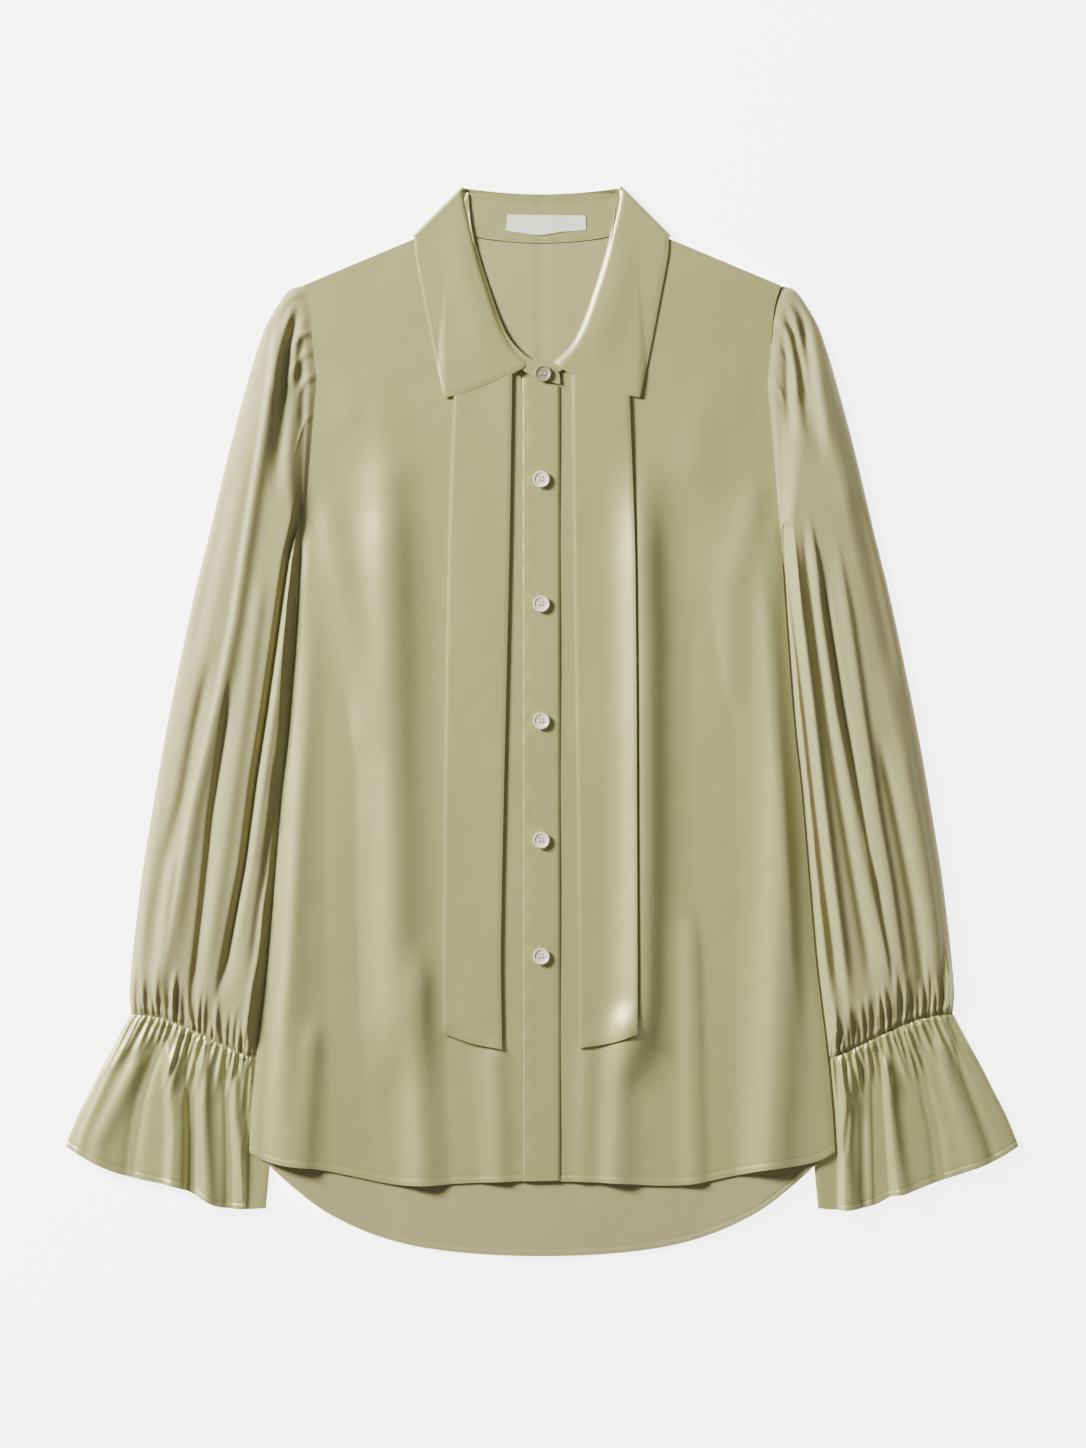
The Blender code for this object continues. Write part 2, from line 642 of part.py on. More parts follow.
def flounce_top(ruffles):
    def height(u, v, x, y):
        total = 0.0
        for ruffle in ruffles:
            middle = ruffle.at_wrist + (ruffle.at_hem - ruffle.at_wrist) * math.sqrt(v)
            total += ruffle.rise * math.exp(-((u - middle) / ruffle.width) ** 2)
        total *= smooth(-0.1, 0.35, v) * smooth(0.0, 0.06, u)
        fine = gather(u) * smooth(0.42, 0.0, v) * smooth(0.0, 0.04, u) * smooth(1.0, 0.93, u)
        edge = PINCHED_TOP + (WRIST_TOP - PINCHED_TOP) * math.sqrt(smooth(0.0, 0.10, u))
        full = max(edge + total, PINCHED_TOP) + max(fine, -0.5)
        return max(beside_body(x, y, full), PINCHED_TOP)

    return height


def flounce_under(top_height):
    def height(u, v, x, y):
        return max(top_height(u, v, x, y) - 2 * WALL - FLOUNCE_HOLLOW, 0.0)

    return height


def flat_under(u, v, x, y):
    return 0.0


for name, side, folds, ruffles, hem in (
    ("left", -1, LEFT_SLEEVE_FOLDS, LEFT_RUFFLES, FLOUNCE_HEM_LEFT),
    ("right", 1, RIGHT_SLEEVE_FOLDS, RIGHT_RUFFLES, FLOUNCE_HEM_RIGHT),
):
    wrist = mirrored(WRIST, side)
    sleeve_spot = patch(
        armhole(side),
        curve(wrist),
        curve(mirrored(SLEEVE_OUTER, side)),
        curve(mirrored(SLEEVE_INNER, side)),
    )
    tube("sleeve_" + name, sleeve_spot, sleeve_top(folds), flat_under, 44, 6, 17)
    lowered = [Edge(point.x, point.y - SEAM_GAP) for point in wrist]
    flounce_spot = patch(
        curve([mirrored(FLOUNCE_OUTER, side)[0]] + [Edge(p.x, p.y - 0.8) for p in lowered[1:-1]]
              + [mirrored(FLOUNCE_INNER, side)[0]]),
        curve(mirrored(hem, side)),
        curve(mirrored(FLOUNCE_OUTER, side)),
        curve(mirrored(FLOUNCE_INNER, side)),
    )
    tops = flounce_top(ruffles)
    tube("ruffle_" + name, flounce_spot, tops, flounce_under(tops), 44, 14, 6)


# Buttons, turned discs with a raised rim and four thread holes
def button(name, x, y, base, colour):
    profile = [
        (0.0, 0.0), (BUTTON_RADIUS - 1.2, 0.0), (BUTTON_RADIUS, 0.8),
        (BUTTON_RADIUS, BUTTON_THICKNESS - 0.5), (BUTTON_RADIUS - 0.5, BUTTON_THICKNESS),
        (BUTTON_RADIUS - BUTTON_RIM, BUTTON_THICKNESS),
        (BUTTON_RADIUS - BUTTON_RIM - 0.6, BUTTON_THICKNESS - BUTTON_DISH),
        (0.0, BUTTON_THICKNESS - BUTTON_DISH),
    ]
    bm = bmesh.new()
    verts = [bm.verts.new(Vector((radius, 0.0, height)) * MM) for radius, height in profile]
    edges = [bm.edges.new(pair) for pair in zip(verts, verts[1:])]
    bmesh.ops.spin(
        bm, geom=verts + edges, cent=(0, 0, 0), axis=(0, 0, 1), angle=math.tau, steps=16, use_merge=True
    )
    bmesh.ops.remove_doubles(bm, verts=bm.verts, dist=0.00001)
    bmesh.ops.recalc_face_normals(bm, faces=bm.faces)
    made = add_object(name, bm, colour, 0.3)
    made.location = Vector((x, y, base)) * MM
    holes = bmesh.new()
    for across in (-1, 1):
        for along in (-1, 1):
            ring = bmesh.ops.create_cone(
                holes, cap_ends=True, segments=6, depth=3 * BUTTON_THICKNESS * MM,
                radius1=BUTTON_HOLE_RADIUS * MM, radius2=BUTTON_HOLE_RADIUS * MM,
            )
            shift = Vector((across, along, 0)) * BUTTON_HOLE_OFFSET * MM
            bmesh.ops.translate(holes, verts=ring["verts"], vec=shift)
    mesh = bpy.data.meshes.new(name + "_holes")
    holes.to_mesh(mesh)
    holes.free()
    cutter = bpy.data.objects.new(name + "_holes", mesh)
    cutter.location = made.location
    cutter.hide_render = True
    cutter.display_type = "WIRE"
    cutters.objects.link(cutter)
    drill = made.modifiers.new("thread holes", "BOOLEAN")
    drill.operation = "DIFFERENCE"
    drill.solver = "EXACT"
    drill.object = cutter
    return made


button_base = 3 * STEP - LAYER_GAP + SEAM_GAP
for number, y in enumerate(BUTTON_ROWS_Y, start=1):
    button("button_" + str(number), BUTTON_X, y, button_base, BUTTON_CREAM)
button("button_top", TOP_BUTTON_X, TOP_BUTTON_Y, button_base, BUTTON_OLIVE)
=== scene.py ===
import math
import bpy
import numpy as np
from mathutils import Matrix, Vector


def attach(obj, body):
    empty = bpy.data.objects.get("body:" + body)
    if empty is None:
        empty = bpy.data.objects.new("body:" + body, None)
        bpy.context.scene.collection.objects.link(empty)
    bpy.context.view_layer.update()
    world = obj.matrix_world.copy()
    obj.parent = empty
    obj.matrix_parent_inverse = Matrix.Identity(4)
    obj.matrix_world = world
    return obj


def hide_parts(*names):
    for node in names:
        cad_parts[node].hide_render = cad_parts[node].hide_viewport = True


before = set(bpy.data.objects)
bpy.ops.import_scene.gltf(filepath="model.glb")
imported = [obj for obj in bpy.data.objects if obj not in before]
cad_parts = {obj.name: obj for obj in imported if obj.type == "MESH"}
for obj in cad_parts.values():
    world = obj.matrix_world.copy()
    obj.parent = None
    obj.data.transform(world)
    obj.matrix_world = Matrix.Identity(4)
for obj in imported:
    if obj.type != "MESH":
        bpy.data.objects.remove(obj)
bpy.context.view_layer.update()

mm = 0.001
print("solids loaded")


# curves and folds, all in millimetres
def ramp(low, high, value):
    share = np.clip((np.asarray(value, float) - low) / (high - low), 0.0, 1.0)
    return share * share * (3.0 - 2.0 * share)


def softCurve(points):
    spots = np.array(points, float)
    step = np.hypot(*np.diff(spots, axis=0).T)
    run = np.concatenate([[0.0], np.cumsum(step)])
    slope = np.empty_like(spots)
    slope[1:-1] = (spots[2:] - spots[:-2]) / (run[2:] - run[:-2])[:, None]
    slope[0] = (spots[1] - spots[0]) / step[0]
    slope[-1] = (spots[-1] - spots[-2]) / step[-1]

    def at(share):
        way = np.clip(np.asarray(share, float), 0.0, 1.0) * run[-1]
        i = np.clip(np.searchsorted(run, way, side="right") - 1, 0, len(spots) - 2)
        span = (run[i + 1] - run[i])[..., None]
        k = ((way - run[i]) / span[..., 0])[..., None]
        start = spots[i] * (2 * k**3 - 3 * k**2 + 1) + slope[i] * span * (k**3 - 2 * k**2 + k)
        end = spots[i + 1] * (3 * k**2 - 2 * k**3) + slope[i + 1] * span * (k**3 - k**2)
        return start + end

    return at


def straight(first, second):
    a = np.array(first, float)
    b = np.array(second, float)
    return lambda share: a + (b - a) * np.asarray(share, float)[..., None]


def joinedCurves(*curves):
    def at(share):
        place = np.clip(np.asarray(share, float), 0.0, 1.0) * len(curves)
        which = np.minimum(place.astype(int), len(curves) - 1)
        out = np.zeros(place.shape + (2,))
        for i, oneCurve in enumerate(curves):
            out = np.where((which == i)[..., None], oneCurve(place - i), out)
        return out

    return at


def backwards(oneCurve):
    return lambda share: oneCurve(1.0 - np.asarray(share, float))


def sided(points, side):
    return [(point[0] * side, point[1]) for point in points]


def fourSided(top, bottom, left, right):
    zero = np.array(0.0)
    one = np.array(1.0)

    def at(u, v):
        uu = u[..., None]
        vv = v[..., None]
        edges = top(u) * (1 - vv) + bottom(u) * vv + left(v) * (1 - uu) + right(v) * uu
        upper = top(zero) * (1 - uu) + top(one) * uu
        lower = bottom(zero) * (1 - uu) + bottom(one) * uu
        return edges - upper * (1 - vv) - lower * vv

    return at


def foldField(folds, x, y):
    # a fold is its path down the cloth, width at the start, width at the end, rise, steeper side, open end
    # the steeper side is 1 towards larger x, -1 towards smaller x and 0 for neither
    total = np.zeros_like(x)
    for path, widthStart, widthEnd, rise, sharpSide, openEnd in folds:
        best = np.full_like(x, 1e9)
        share = np.zeros_like(x)
        hand = np.zeros_like(x)
        count = len(path) - 1
        for i in range(count):
            ax, ay = path[i]
            bx, by = path[i + 1]
            rx, ry = bx - ax, by - ay
            t = np.clip(((x - ax) * rx + (y - ay) * ry) / (rx * rx + ry * ry), 0.0, 1.0)
            dx = x - ax - rx * t
            dy = y - ay - ry * t
            gap = np.hypot(dx, dy)
            nearer = gap < best
            best = np.where(nearer, gap, best)
            share = np.where(nearer, (i + t) / count, share)
            hand = np.where(nearer, np.sign(rx * dy - ry * dx), hand)
        width = widthStart + (widthEnd - widthStart) * share
        if sharpSide:
            width = np.where(hand == sharpSide, width * 0.5, width * 1.1)
        ends = ramp(0.0, 0.16, share)
        if not openEnd:
            ends = ends * ramp(0.0, 0.18, 1.0 - share)
        total += rise * ends * np.exp(-(best / width) ** 2)
    return total


# meshes
def readSpots(piece):
    spots = np.empty(len(piece.data.vertices) * 3)
    piece.data.vertices.foreach_get("co", spots)
    return spots.reshape(-1, 3)


def gridPiece(name, columns, rows):
    bpy.ops.object.select_all(action="DESELECT")
    bpy.ops.mesh.primitive_grid_add(x_subdivisions=columns, y_subdivisions=rows, size=1)
    piece = bpy.context.object
    piece.name = name
    piece.data.name = name
    spots = readSpots(piece)
    return piece, spots[:, 0] + 0.5, 0.5 - spots[:, 1]


def shapePiece(piece, x, y, z):
    spots = np.stack([x, y, z], -1) * mm
    piece.data.vertices.foreach_set("co", spots.ravel())
    piece.data.update()


def faceUp(piece):
    bpy.ops.object.select_all(action="DESELECT")
    piece.select_set(True)
    bpy.context.view_layer.objects.active = piece
    normals = np.empty(len(piece.data.polygons) * 3)
    piece.data.polygons.foreach_get("normal", normals)
    if normals.reshape(-1, 3)[:, 2].sum() < 0:
        bpy.ops.object.mode_set(mode="EDIT")
        bpy.ops.mesh.select_all(action="SELECT")
        bpy.ops.mesh.flip_normals()
        bpy.ops.object.mode_set(mode="OBJECT")


def thicken(piece, thickness, offset, outside, inside=None):
    piece.data.materials.append(outside)
    wall = piece.modifiers.new("cloth", "SOLIDIFY")
    wall.thickness = thickness * mm
    wall.offset = offset
    if inside is not None:
        piece.data.materials.append(inside)
        wall.material_offset = 1
    bpy.context.view_layer.objects.active = piece
    bpy.ops.object.modifier_apply(modifier=wall.name)
    bpy.ops.object.select_all(action="DESELECT")
    piece.select_set(True)
    bpy.ops.object.shade_smooth_by_angle(angle=math.radians(50))


def addTo(piece, nodes=()):
    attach(piece, "root")
    if nodes:
        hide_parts(*nodes)
    return piece


# materials
def nodeMaterial(name, colour, roughness):
    made = bpy.data.materials.new(name)
    made.use_nodes = True
    shader = made.node_tree.nodes["Principled BSDF"]
    shader.inputs["Base Color"].default_value = (*colour, 1)
    shader.inputs["Roughness"].default_value = roughness
    return made, made.node_tree.nodes, made.node_tree.links, shader


def clothMaterial(name, colour, darker, roughness, sheen, gloss, weave, metal):
    made, nodes, links, shader = nodeMaterial(name, colour, roughness)
    shader.inputs["Sheen Weight"].default_value = sheen
    shader.inputs["Sheen Roughness"].default_value = 0.35
    shader.inputs["Sheen Tint"].default_value = (0.95, 0.93, 0.70, 1)
    shader.inputs["Metallic"].default_value = metal
    shader.inputs["Specular IOR Level"].default_value = gloss
    place = nodes.new("ShaderNodeTexCoord")
    cloud = nodes.new("ShaderNodeTexNoise")
    cloud.inputs["Scale"].default_value = 9
    cloud.inputs["Detail"].default_value = 4
    links.new(place.outputs["Object"], cloud.inputs["Vector"])
    blend = nodes.new("ShaderNodeMix")
    blend.data_type = "RGBA"
    blend.inputs[6].default_value = (*colour, 1)
    blend.inputs[7].default_value = (*darker, 1)
    links.new(cloud.outputs["Fac"], blend.inputs[0])
    links.new(blend.outputs[2], shader.inputs["Base Color"])
    threads = nodes.new("ShaderNodeTexWave")  # diagonal satin float lines
    threads.bands_direction = "DIAGONAL"
    threads.inputs["Scale"].default_value = 900
    threads.inputs["Distortion"].default_value = 1.2
    threads.inputs["Detail"].default_value = 1
    links.new(place.outputs["Object"], threads.inputs["Vector"])
    crumple = nodes.new("ShaderNodeTexNoise")  # faint rumples
    crumple.inputs["Scale"].default_value = 26
    crumple.inputs["Detail"].default_value = 3
    crumple.inputs["Roughness"].default_value = 0.45
    links.new(place.outputs["Object"], crumple.inputs["Vector"])
    rumple = nodes.new("ShaderNodeBump")
    rumple.inputs["Strength"].default_value = 0.35
    rumple.inputs["Distance"].default_value = 0.002
    links.new(crumple.outputs["Fac"], rumple.inputs["Height"])
    fine = nodes.new("ShaderNodeBump")
    fine.inputs["Strength"].default_value = weave
    fine.inputs["Distance"].default_value = 0.0002
    links.new(threads.outputs["Fac"], fine.inputs["Height"])
    links.new(rumple.outputs["Normal"], fine.inputs["Normal"])
    links.new(fine.outputs["Normal"], shader.inputs["Normal"])
    return made


satin = clothMaterial("sage satin", (0.445, 0.425, 0.165), (0.395, 0.375, 0.14), 0.40, 0.05, 0.9, 0.12, 0.3)
wrongSide = clothMaterial(
    "satin wrong side", (0.37, 0.335, 0.15), (0.33, 0.30, 0.13), 0.62, 0.05, 0.25, 0.2, 0.0,
)
threadStuff, _, _, _ = nodeMaterial("sewing thread", (0.36, 0.34, 0.19), 0.55)
labelThread = nodeMaterial("label thread", (0.80, 0.74, 0.62), 0.7)[0]
print("materials made")

# body shape shared by the panels
body = {
    "wall": 1.1, "gap": 0.4, "shoulder": (191.0, 348.5), "neck": (76.8, 396.4), "underarm": 152.0,
    "placketLeft": -15.6, "placketRight": 14.3, "placketTop": 270.0, "hemMiddle": -367.5, "sideLift": 2.9,
    "cloth": 0.55, "depth": 1.6,
}
step = body["wall"] + body["gap"]
bodySide = [
    (348.5, 191.0), (333.0, 186.2), (307.0, 183.6), (272.0, 181.5), (248.0, 183.6), (198.0, 188.2),
    (155.0, 191.6), (129.0, 192.2), (88.0, 194.6), (-4.0, 201.6), (-55.0, 207.2), (-126.0, 213.2),
    (-191.0, 218.8), (-225.0, 222.8), (-260.0, 227.2), (-311.0, 232.0), (-344.0, 234.0),
]
frontHem = [
    (0.0, -367.5), (32.0, -368.0), (67.0, -369.5), (93.0, -371.0), (119.0, -370.0), (154.0, -363.0),
    (179.0, -357.8), (205.0, -354.6), (222.0, -350.5), (234.0, -344.0),
]
backHem = [
    (0.0, -427.8), (32.0, -427.2), (66.0, -424.8), (99.0, -420.2), (128.0, -412.8), (152.0, -403.2),
    (174.0, -391.4), (191.0, -379.0), (209.0, -363.5), (221.0, -352.5), (234.0, -344.0),
]
backNeck = [(0.0, 382.0), (27.0, 383.2), (53.6, 387.0), (76.8, 396.4)]
frontNeck = [(76.8, 396.4), (73.0, 380.0), (62.5, 352.0), (50.0, 322.0), (36.0, 297.0), (17.8, 277.0)]
frontFolds = [
    ([(-126, 230), (-122, 100), (-118, -60), (-116, -200), (-112, -300)], 19, 18, 4.8, 0, False),
    ([(-196, 120), (-200, -60), (-203, -220), (-205, -390)], 13, 16, 3.4, 0, True),
    ([(-160, 60), (-160, -100), (-158, -250), (-150, -390)], 11, 13, -1.6, 0, True),
    ([(-98, -170), (-98, -260), (-96, -320), (-94, -390)], 11, 14, 3.0, 0, True),
    ([(-182, -230), (-188, -320), (-192, -390)], 8, 11, 2.0, 0, True),
    ([(-70, -240), (-66, -320), (-62, -390)], 9, 12, -1.2, 0, True),
    ([(-38, -250), (-34, -320), (-32, -390)], 9, 12, 1.6, 0, True),
    ([(78, 230), (82, 60), (82, -100), (80, -220), (74, -300)], 17, 16, 6.2, 0, False),
    ([(192, 160), (196, 20), (194, -120), (188, -260), (182, -390)], 19, 17, 4.6, 0, True),
    ([(134, 120), (136, -60), (138, -220), (140, -380)], 13, 15, -1.8, 0, True),
    ([(118, -140), (122, -230), (124, -310), (126, -390)], 10, 12, 2.0, 0, True),
    ([(66, -220), (62, -300), (60, -390)], 10, 13, 2.6, 0, True),
    ([(36, -250), (34, -320), (32, -390)], 7, 9, 0.8, 0, True),
    ([(-176, 190), (-150, 70), (-137, -40)], 12, 16, 1.2, 0, False),
    ([(178, 200), (152, 110), (140, 0)], 12, 16, 1.2, 0, False),
    ([(-150, 330), (-128, 250), (-120, 170)], 16, 20, 1.3, 0, False),
    ([(150, 330), (130, 250), (118, 180)], 16, 20, 1.3, 0, False),
    ([(-176, 318), (-160, 280), (-152, 230)], 9, 12, 0.9, 0, False),
    ([(176, 318), (160, 280), (152, 230)], 9, 12, 0.9, 0, False),
]


def bodyHalf(y):
    heights = np.array([row[0] for row in bodySide])[::-1]
    halves = np.array([row[1] for row in bodySide])[::-1]
    return np.interp(y, heights, halves)


def backUnder(x, y):
    collar = step * ramp(272.0, 361.0, y)
    inside = bodyHalf(y) - np.abs(x)
    sides = body["sideLift"] * ramp(112.0, 28.0, inside) * ramp(body["underarm"] + 20.0, 110.0, y)
    return np.maximum(collar, sides)


def frontUnder(x, y):
    calm = ramp(318.0, 170.0, y) * ramp(2.0, 20.0, bodyHalf(y) - np.abs(x)) * ramp(14.0, 34.0, np.abs(x))
    waves = np.maximum(body["depth"] * foldField(frontFolds, x, y) * calm, -0.35)
    return backUnder(x, y) + step + waves


def overFront(x, y):
    return frontUnder(x, y) + step


def leafUnder(x, y):
    tie = 3 * step * ramp(96.0, 76.0, np.abs(x))
    return np.maximum(overFront(x, y), tie)


def sideCurve(side):
    return softCurve([(half * side, y) for y, half in bodySide])


def shoulderLine(side):
    ends = sided([body["shoulder"], body["neck"]], side)
    return straight(*ends)


def closerAt(share, crowd, part):
    # rows crowd together over the last part, where the hem's fold lies
    near = share / crowd * (1 - part)
    far = 1 - part + (share - crowd) / (1 - crowd) * part
    return np.where(share < crowd, near, far)


# back
back = {"columns": 96, "rows": 150, "hem": 5.0, "length": 790.0, "groove": 0.3, "seam": 0.55}
piece, u, v = gridPiece("back_panel", back["columns"], back["rows"])
v = closerAt(v, 0.93, 0.014)
neckCurve = softCurve(sided(backNeck[::-1], -1) + sided(backNeck[1:], 1))
topCurve = joinedCurves(shoulderLine(-1), neckCurve, backwards(shoulderLine(1)))
hemCurve = softCurve(sided(backHem[::-1], -1) + sided(backHem[1:], 1))
spots = fourSided(topCurve, hemCurve, sideCurve(-1), sideCurve(1))(u, v)
x, y = spots[:, 0], spots[:, 1]
fromHem = (1 - v) * back["length"]
z = backUnder(x, y) + body["wall"] + 0.25 * ramp(back["hem"] + 0.8, back["hem"] - 0.4, fromHem)
z = z - back["groove"] * np.exp(-((fromHem - back["hem"]) / 0.8) ** 2)
z = z - back["seam"] * np.exp(-(x / 1.3) ** 2) * ramp(-100.0, 100.0, y)  # centre-back seam fades out
shapePiece(piece, x, y, z)
faceUp(piece)
thicken(piece, 0.8, -1.0, wrongSide, satin)
backPanel = addTo(piece, ["back"])
print("back done")

# fronts
front = {"columns": 84, "rows": 170, "hem": 5.0, "curl": 1.4, "reach": 3.0, "length": 700.0, "groove": 0.35}
frontPieces = {}
for side, nodeName in ((-1, "front_left"), (1, "front_right")):
    middleX = body["placketLeft"] + side * body["gap"]
    piece, u, v = gridPiece("front_panel_" + nodeName[6:], front["columns"], front["rows"])
    v = closerAt(v, 0.93, 0.016)
    neckCurve = softCurve(sided(frontNeck, side) + [(middleX, body["placketTop"] + 1.0)])
    topCurve = joinedCurves(shoulderLine(side), neckCurve)
    hemRows = [point for point in frontHem if point[0] > abs(middleX) + 4.0]
    hemCurve = softCurve([(middleX, body["hemMiddle"])] + sided(hemRows, side))
    middle = straight((middleX, body["placketTop"] + 1.0), (middleX, body["hemMiddle"]))
    spots = fourSided(topCurve, backwards(hemCurve), sideCurve(side), middle)(u, v)
    x, y = spots[:, 0], spots[:, 1]
    inside = np.maximum(bodyHalf(y) - np.abs(x), 0.0)
    fromHem = (1 - v) * front["length"]
    z = frontUnder(x, y) + body["wall"]
    z = z - front["curl"] * np.exp(-(inside / front["reach"]) ** 2) * ramp(175.0, 140.0, y)
    z = z + 0.3 * ramp(front["hem"] + 0.8, front["hem"] - 0.4, fromHem)
    z = z - front["groove"] * np.exp(-((fromHem - front["hem"]) / 0.8) ** 2)
    shapePiece(piece, x, y, z)
    faceUp(piece)
    thicken(piece, body["cloth"], -1.0, satin, wrongSide)
    frontPieces[nodeName] = addTo(piece, [nodeName])
print("fronts done")

# placket
placket = {"columns": 30, "rows": 260, "stitchIn": 2.4, "pucker": 0.22}
piece, u, v = gridPiece("placket", placket["columns"], placket["rows"])
left, right, top, low = body["placketLeft"], body["placketRight"], body["placketTop"], body["hemMiddle"]
spots = fourSided(
    straight((left, top + 5.0), (right, top - 2.0)), straight((left, low), (right, low + 0.6)),
    straight((left, top + 5.0), (left, low)), straight((right, top - 2.0), (right, low + 0.6)),
)(u, v)
x, y = spots[:, 0], spots[:, 1]
puckers = np.sin(y / 4.1 + 1.3 * np.sin(y / 23.0)) * np.exp(-((x - left - placket["stitchIn"]) / 2.6) ** 2)
z = overFront(x, y) + body["wall"] + placket["pucker"] * puckers
z = z + 0.18 * np.sin(y / 31.0) * ramp(0.0, 12.0, x - left)
z = z - 0.9 * np.exp(-((x - right) / 1.1) ** 2) - 0.7 * np.exp(-((x - left) / 1.0) ** 2)
z = z - 0.25 * np.exp(-((x - left - placket["stitchIn"]) / 0.7) ** 2)
shapePiece(piece, x, y, z)
faceUp(piece)
thicken(piece, 0.9, -1.0, satin)
placketPiece = addTo(piece, ["button_placket"])
print("placket done")

# ties
ties = {
    "tie_left": {
        "left": [(-69.4, 284.0), (-75.2, 129.2), (-79.2, -174.8), (-79.2, -249.2)],
        "right": [(-23.8, 280.5), (-26.2, 129.2), (-32.8, -174.8), (-32.0, -262.0)],
        "end": [(-79.2, -249.2), (-57.0, -257.2), (-32.0, -262.0)],
    },
    "tie_right": {
        "left": [(23.8, 280.5), (25.4, 129.2), (29.4, -174.8), (29.6, -261.0)],
        "right": [(69.2, 284.0), (74.2, 129.2), (76.0, -174.8), (76.0, -249.2)],
        "end": [(29.6, -261.0), (54.0, -257.0), (76.0, -249.2)],
    },
}
tieCloth = {"columns": 36, "rows": 150, "width": 50.0, "length": 540.0, "loft": 1.1, "edgeDrop": 0.5}
for nodeName, rows in ties.items():
    piece, u, v = gridPiece("neck_tie_" + nodeName[4:], tieCloth["columns"], tieCloth["rows"])
    spots = fourSided(
        straight(rows["left"][0], rows["right"][0]), softCurve(rows["end"]),
        softCurve(rows["left"]), softCurve(rows["right"]),
    )(u, v)
    x, y = spots[:, 0], spots[:, 1]
    edge = np.minimum(u, 1 - u) * tieCloth["width"]
    endEdge = (1 - v) * tieCloth["length"]
    roll = np.exp(-(edge / 1.3) ** 2) + np.exp(-(endEdge / 2.0) ** 2)
    swell = 0.35 * np.sin(y / 52.0 + (0.0 if nodeName == "tie_left" else 1.9)) * np.sin(np.pi * u)
    z = overFront(x, y) + body["wall"] + tieCloth["loft"] + swell
    z = z - tieCloth["edgeDrop"] * np.minimum(roll, 1.0)
    shapePiece(piece, x, y, z)
    faceUp(piece)
    thicken(piece, 0.9, -1.0, satin)
    addTo(piece, [nodeName])
print("ties done")


# collar
def turnRows(inner, outer, high, low, steps):
    along = np.array(outer, float) - np.array(inner, float)
    along /= np.hypot(*along)
    away = np.array([-along[1], along[0]])
    if away @ np.array(inner) < 0:
        away = -away
    rows = []
    for k in range(1, steps):
        angle = math.pi / 2 - math.pi * k / steps
        reach = away * (high - low) / 2 * math.cos(angle)
        rows.append((reach, (high + low) / 2 + (high - low) / 2 * math.sin(angle)))
    return rows


leaf = {
    "inner": [(62.0, 426.4), (60.0, 413.0), (54.6, 390.0), (50.0, 371.0), (40.8, 342.0), (32.2, 318.4),
              (21.8, 300.2), (9.2, 288.0)],
    "outer": [(101.6, 386.8), (101.0, 374.0), (96.4, 348.4), (84.8, 288.4), (78.2, 258.8)],
    "end": [(9.2, 288.0), (17.4, 281.0), (39.0, 271.6), (62.0, 262.4), (78.2, 258.8)],
    "backTop": [(62.0, 426.4), (40.0, 423.8), (20.0, 422.2), (0.0, 421.6)],
    "backLow": [(101.6, 386.8), (74.0, 372.0), (38.0, 366.0), (0.0, 364.4)],
    "across": 48, "frontRows": 80, "turnSteps": 14, "backRows": 40, "thick": 0.9, "wide": 58, "long": 170,
    "backLevel": 0.45, "groove": 0.22,
}


def leafFrontRows(side):
    spot = fourSided(
        straight(sided(leaf["inner"], side)[0], sided(leaf["outer"], side)[0]),
        softCurve(sided(leaf["end"], side)),
        softCurve(sided(leaf["inner"], side)),
        softCurve(sided(leaf["outer"], side)),
    )
    rows = []
    share = np.linspace(0, 1, leaf["across"] + 1)
    for v in np.linspace(1, 0, leaf["frontRows"] + 1):
        spots = spot(share, np.full_like(share, v))
        x, y = spots[:, 0], spots[:, 1]
        z = leafUnder(x, y) + body["wall"]
        z = z - 1.9 * np.exp(-(share / 0.05) ** 2)  # the roll down into the neck
        z = z - 0.5 * np.exp(-((1 - share) * leaf["wide"] / 1.2) ** 2)
        z = z - 0.5 * np.exp(-((1 - v) * leaf["long"] / 1.3) ** 2)
        z = z - leaf["groove"] * np.exp(-(((1 - share) * leaf["wide"] - 3.2) / 0.8) ** 2)
        z = z - leaf["groove"] * np.exp(-(((1 - v) * leaf["long"] - 3.4) / 0.9) ** 2)
        z = z + 1.0 * np.exp(-((share - 0.3) / 0.24) ** 2) * ramp(0.0, 0.45, v) * ramp(1.0, 0.7, v)
        rows.append(np.stack([x, y, z], -1))
    return rows


def leafTurn(side):
    inner = np.array(sided(leaf["inner"], side)[0])
    outer = np.array(sided(leaf["outer"], side)[0])
    share = np.linspace(0, 1, leaf["across"] + 1)[:, None]
    rows = []
    for reach, height in turnRows(inner, outer, 3 * step + body["wall"], leaf["backLevel"],
                                  leaf["turnSteps"]):
        flat = inner + (outer - inner) * share + reach
        rows.append(np.concatenate([flat, np.full_like(share, height)], 1))
    return rows


leafBackRows = []
share = np.linspace(0, 1, leaf["across"] + 1)
for way in np.linspace(-1, 1, leaf["backRows"] + 1):
    side = 1 if way > 0 else -1
    top = softCurve(sided(leaf["backTop"], side))(np.array(1 - abs(way)))
    low = softCurve(sided(leaf["backLow"], side))(np.array(1 - abs(way)))
    flat = top + (low - top) * share[:, None]
    rise = leaf["backLevel"] + 2.3 * np.exp(-(share / 0.045) ** 2) * ramp(1.0, 0.92, abs(way))
    leafBackRows.append(np.concatenate([flat, rise[:, None]], 1))
leafRows = leafFrontRows(-1) + leafTurn(-1) + leafBackRows + leafTurn(1)[::-1] + leafFrontRows(1)[::-1]
piece, u, v = gridPiece("turned_collar", leaf["across"], len(leafRows) - 1)
table = np.array(leafRows)
rowIndex = np.rint(v * (len(leafRows) - 1)).astype(int)
columnIndex = np.rint(u * leaf["across"]).astype(int)
spots = table[rowIndex, columnIndex]
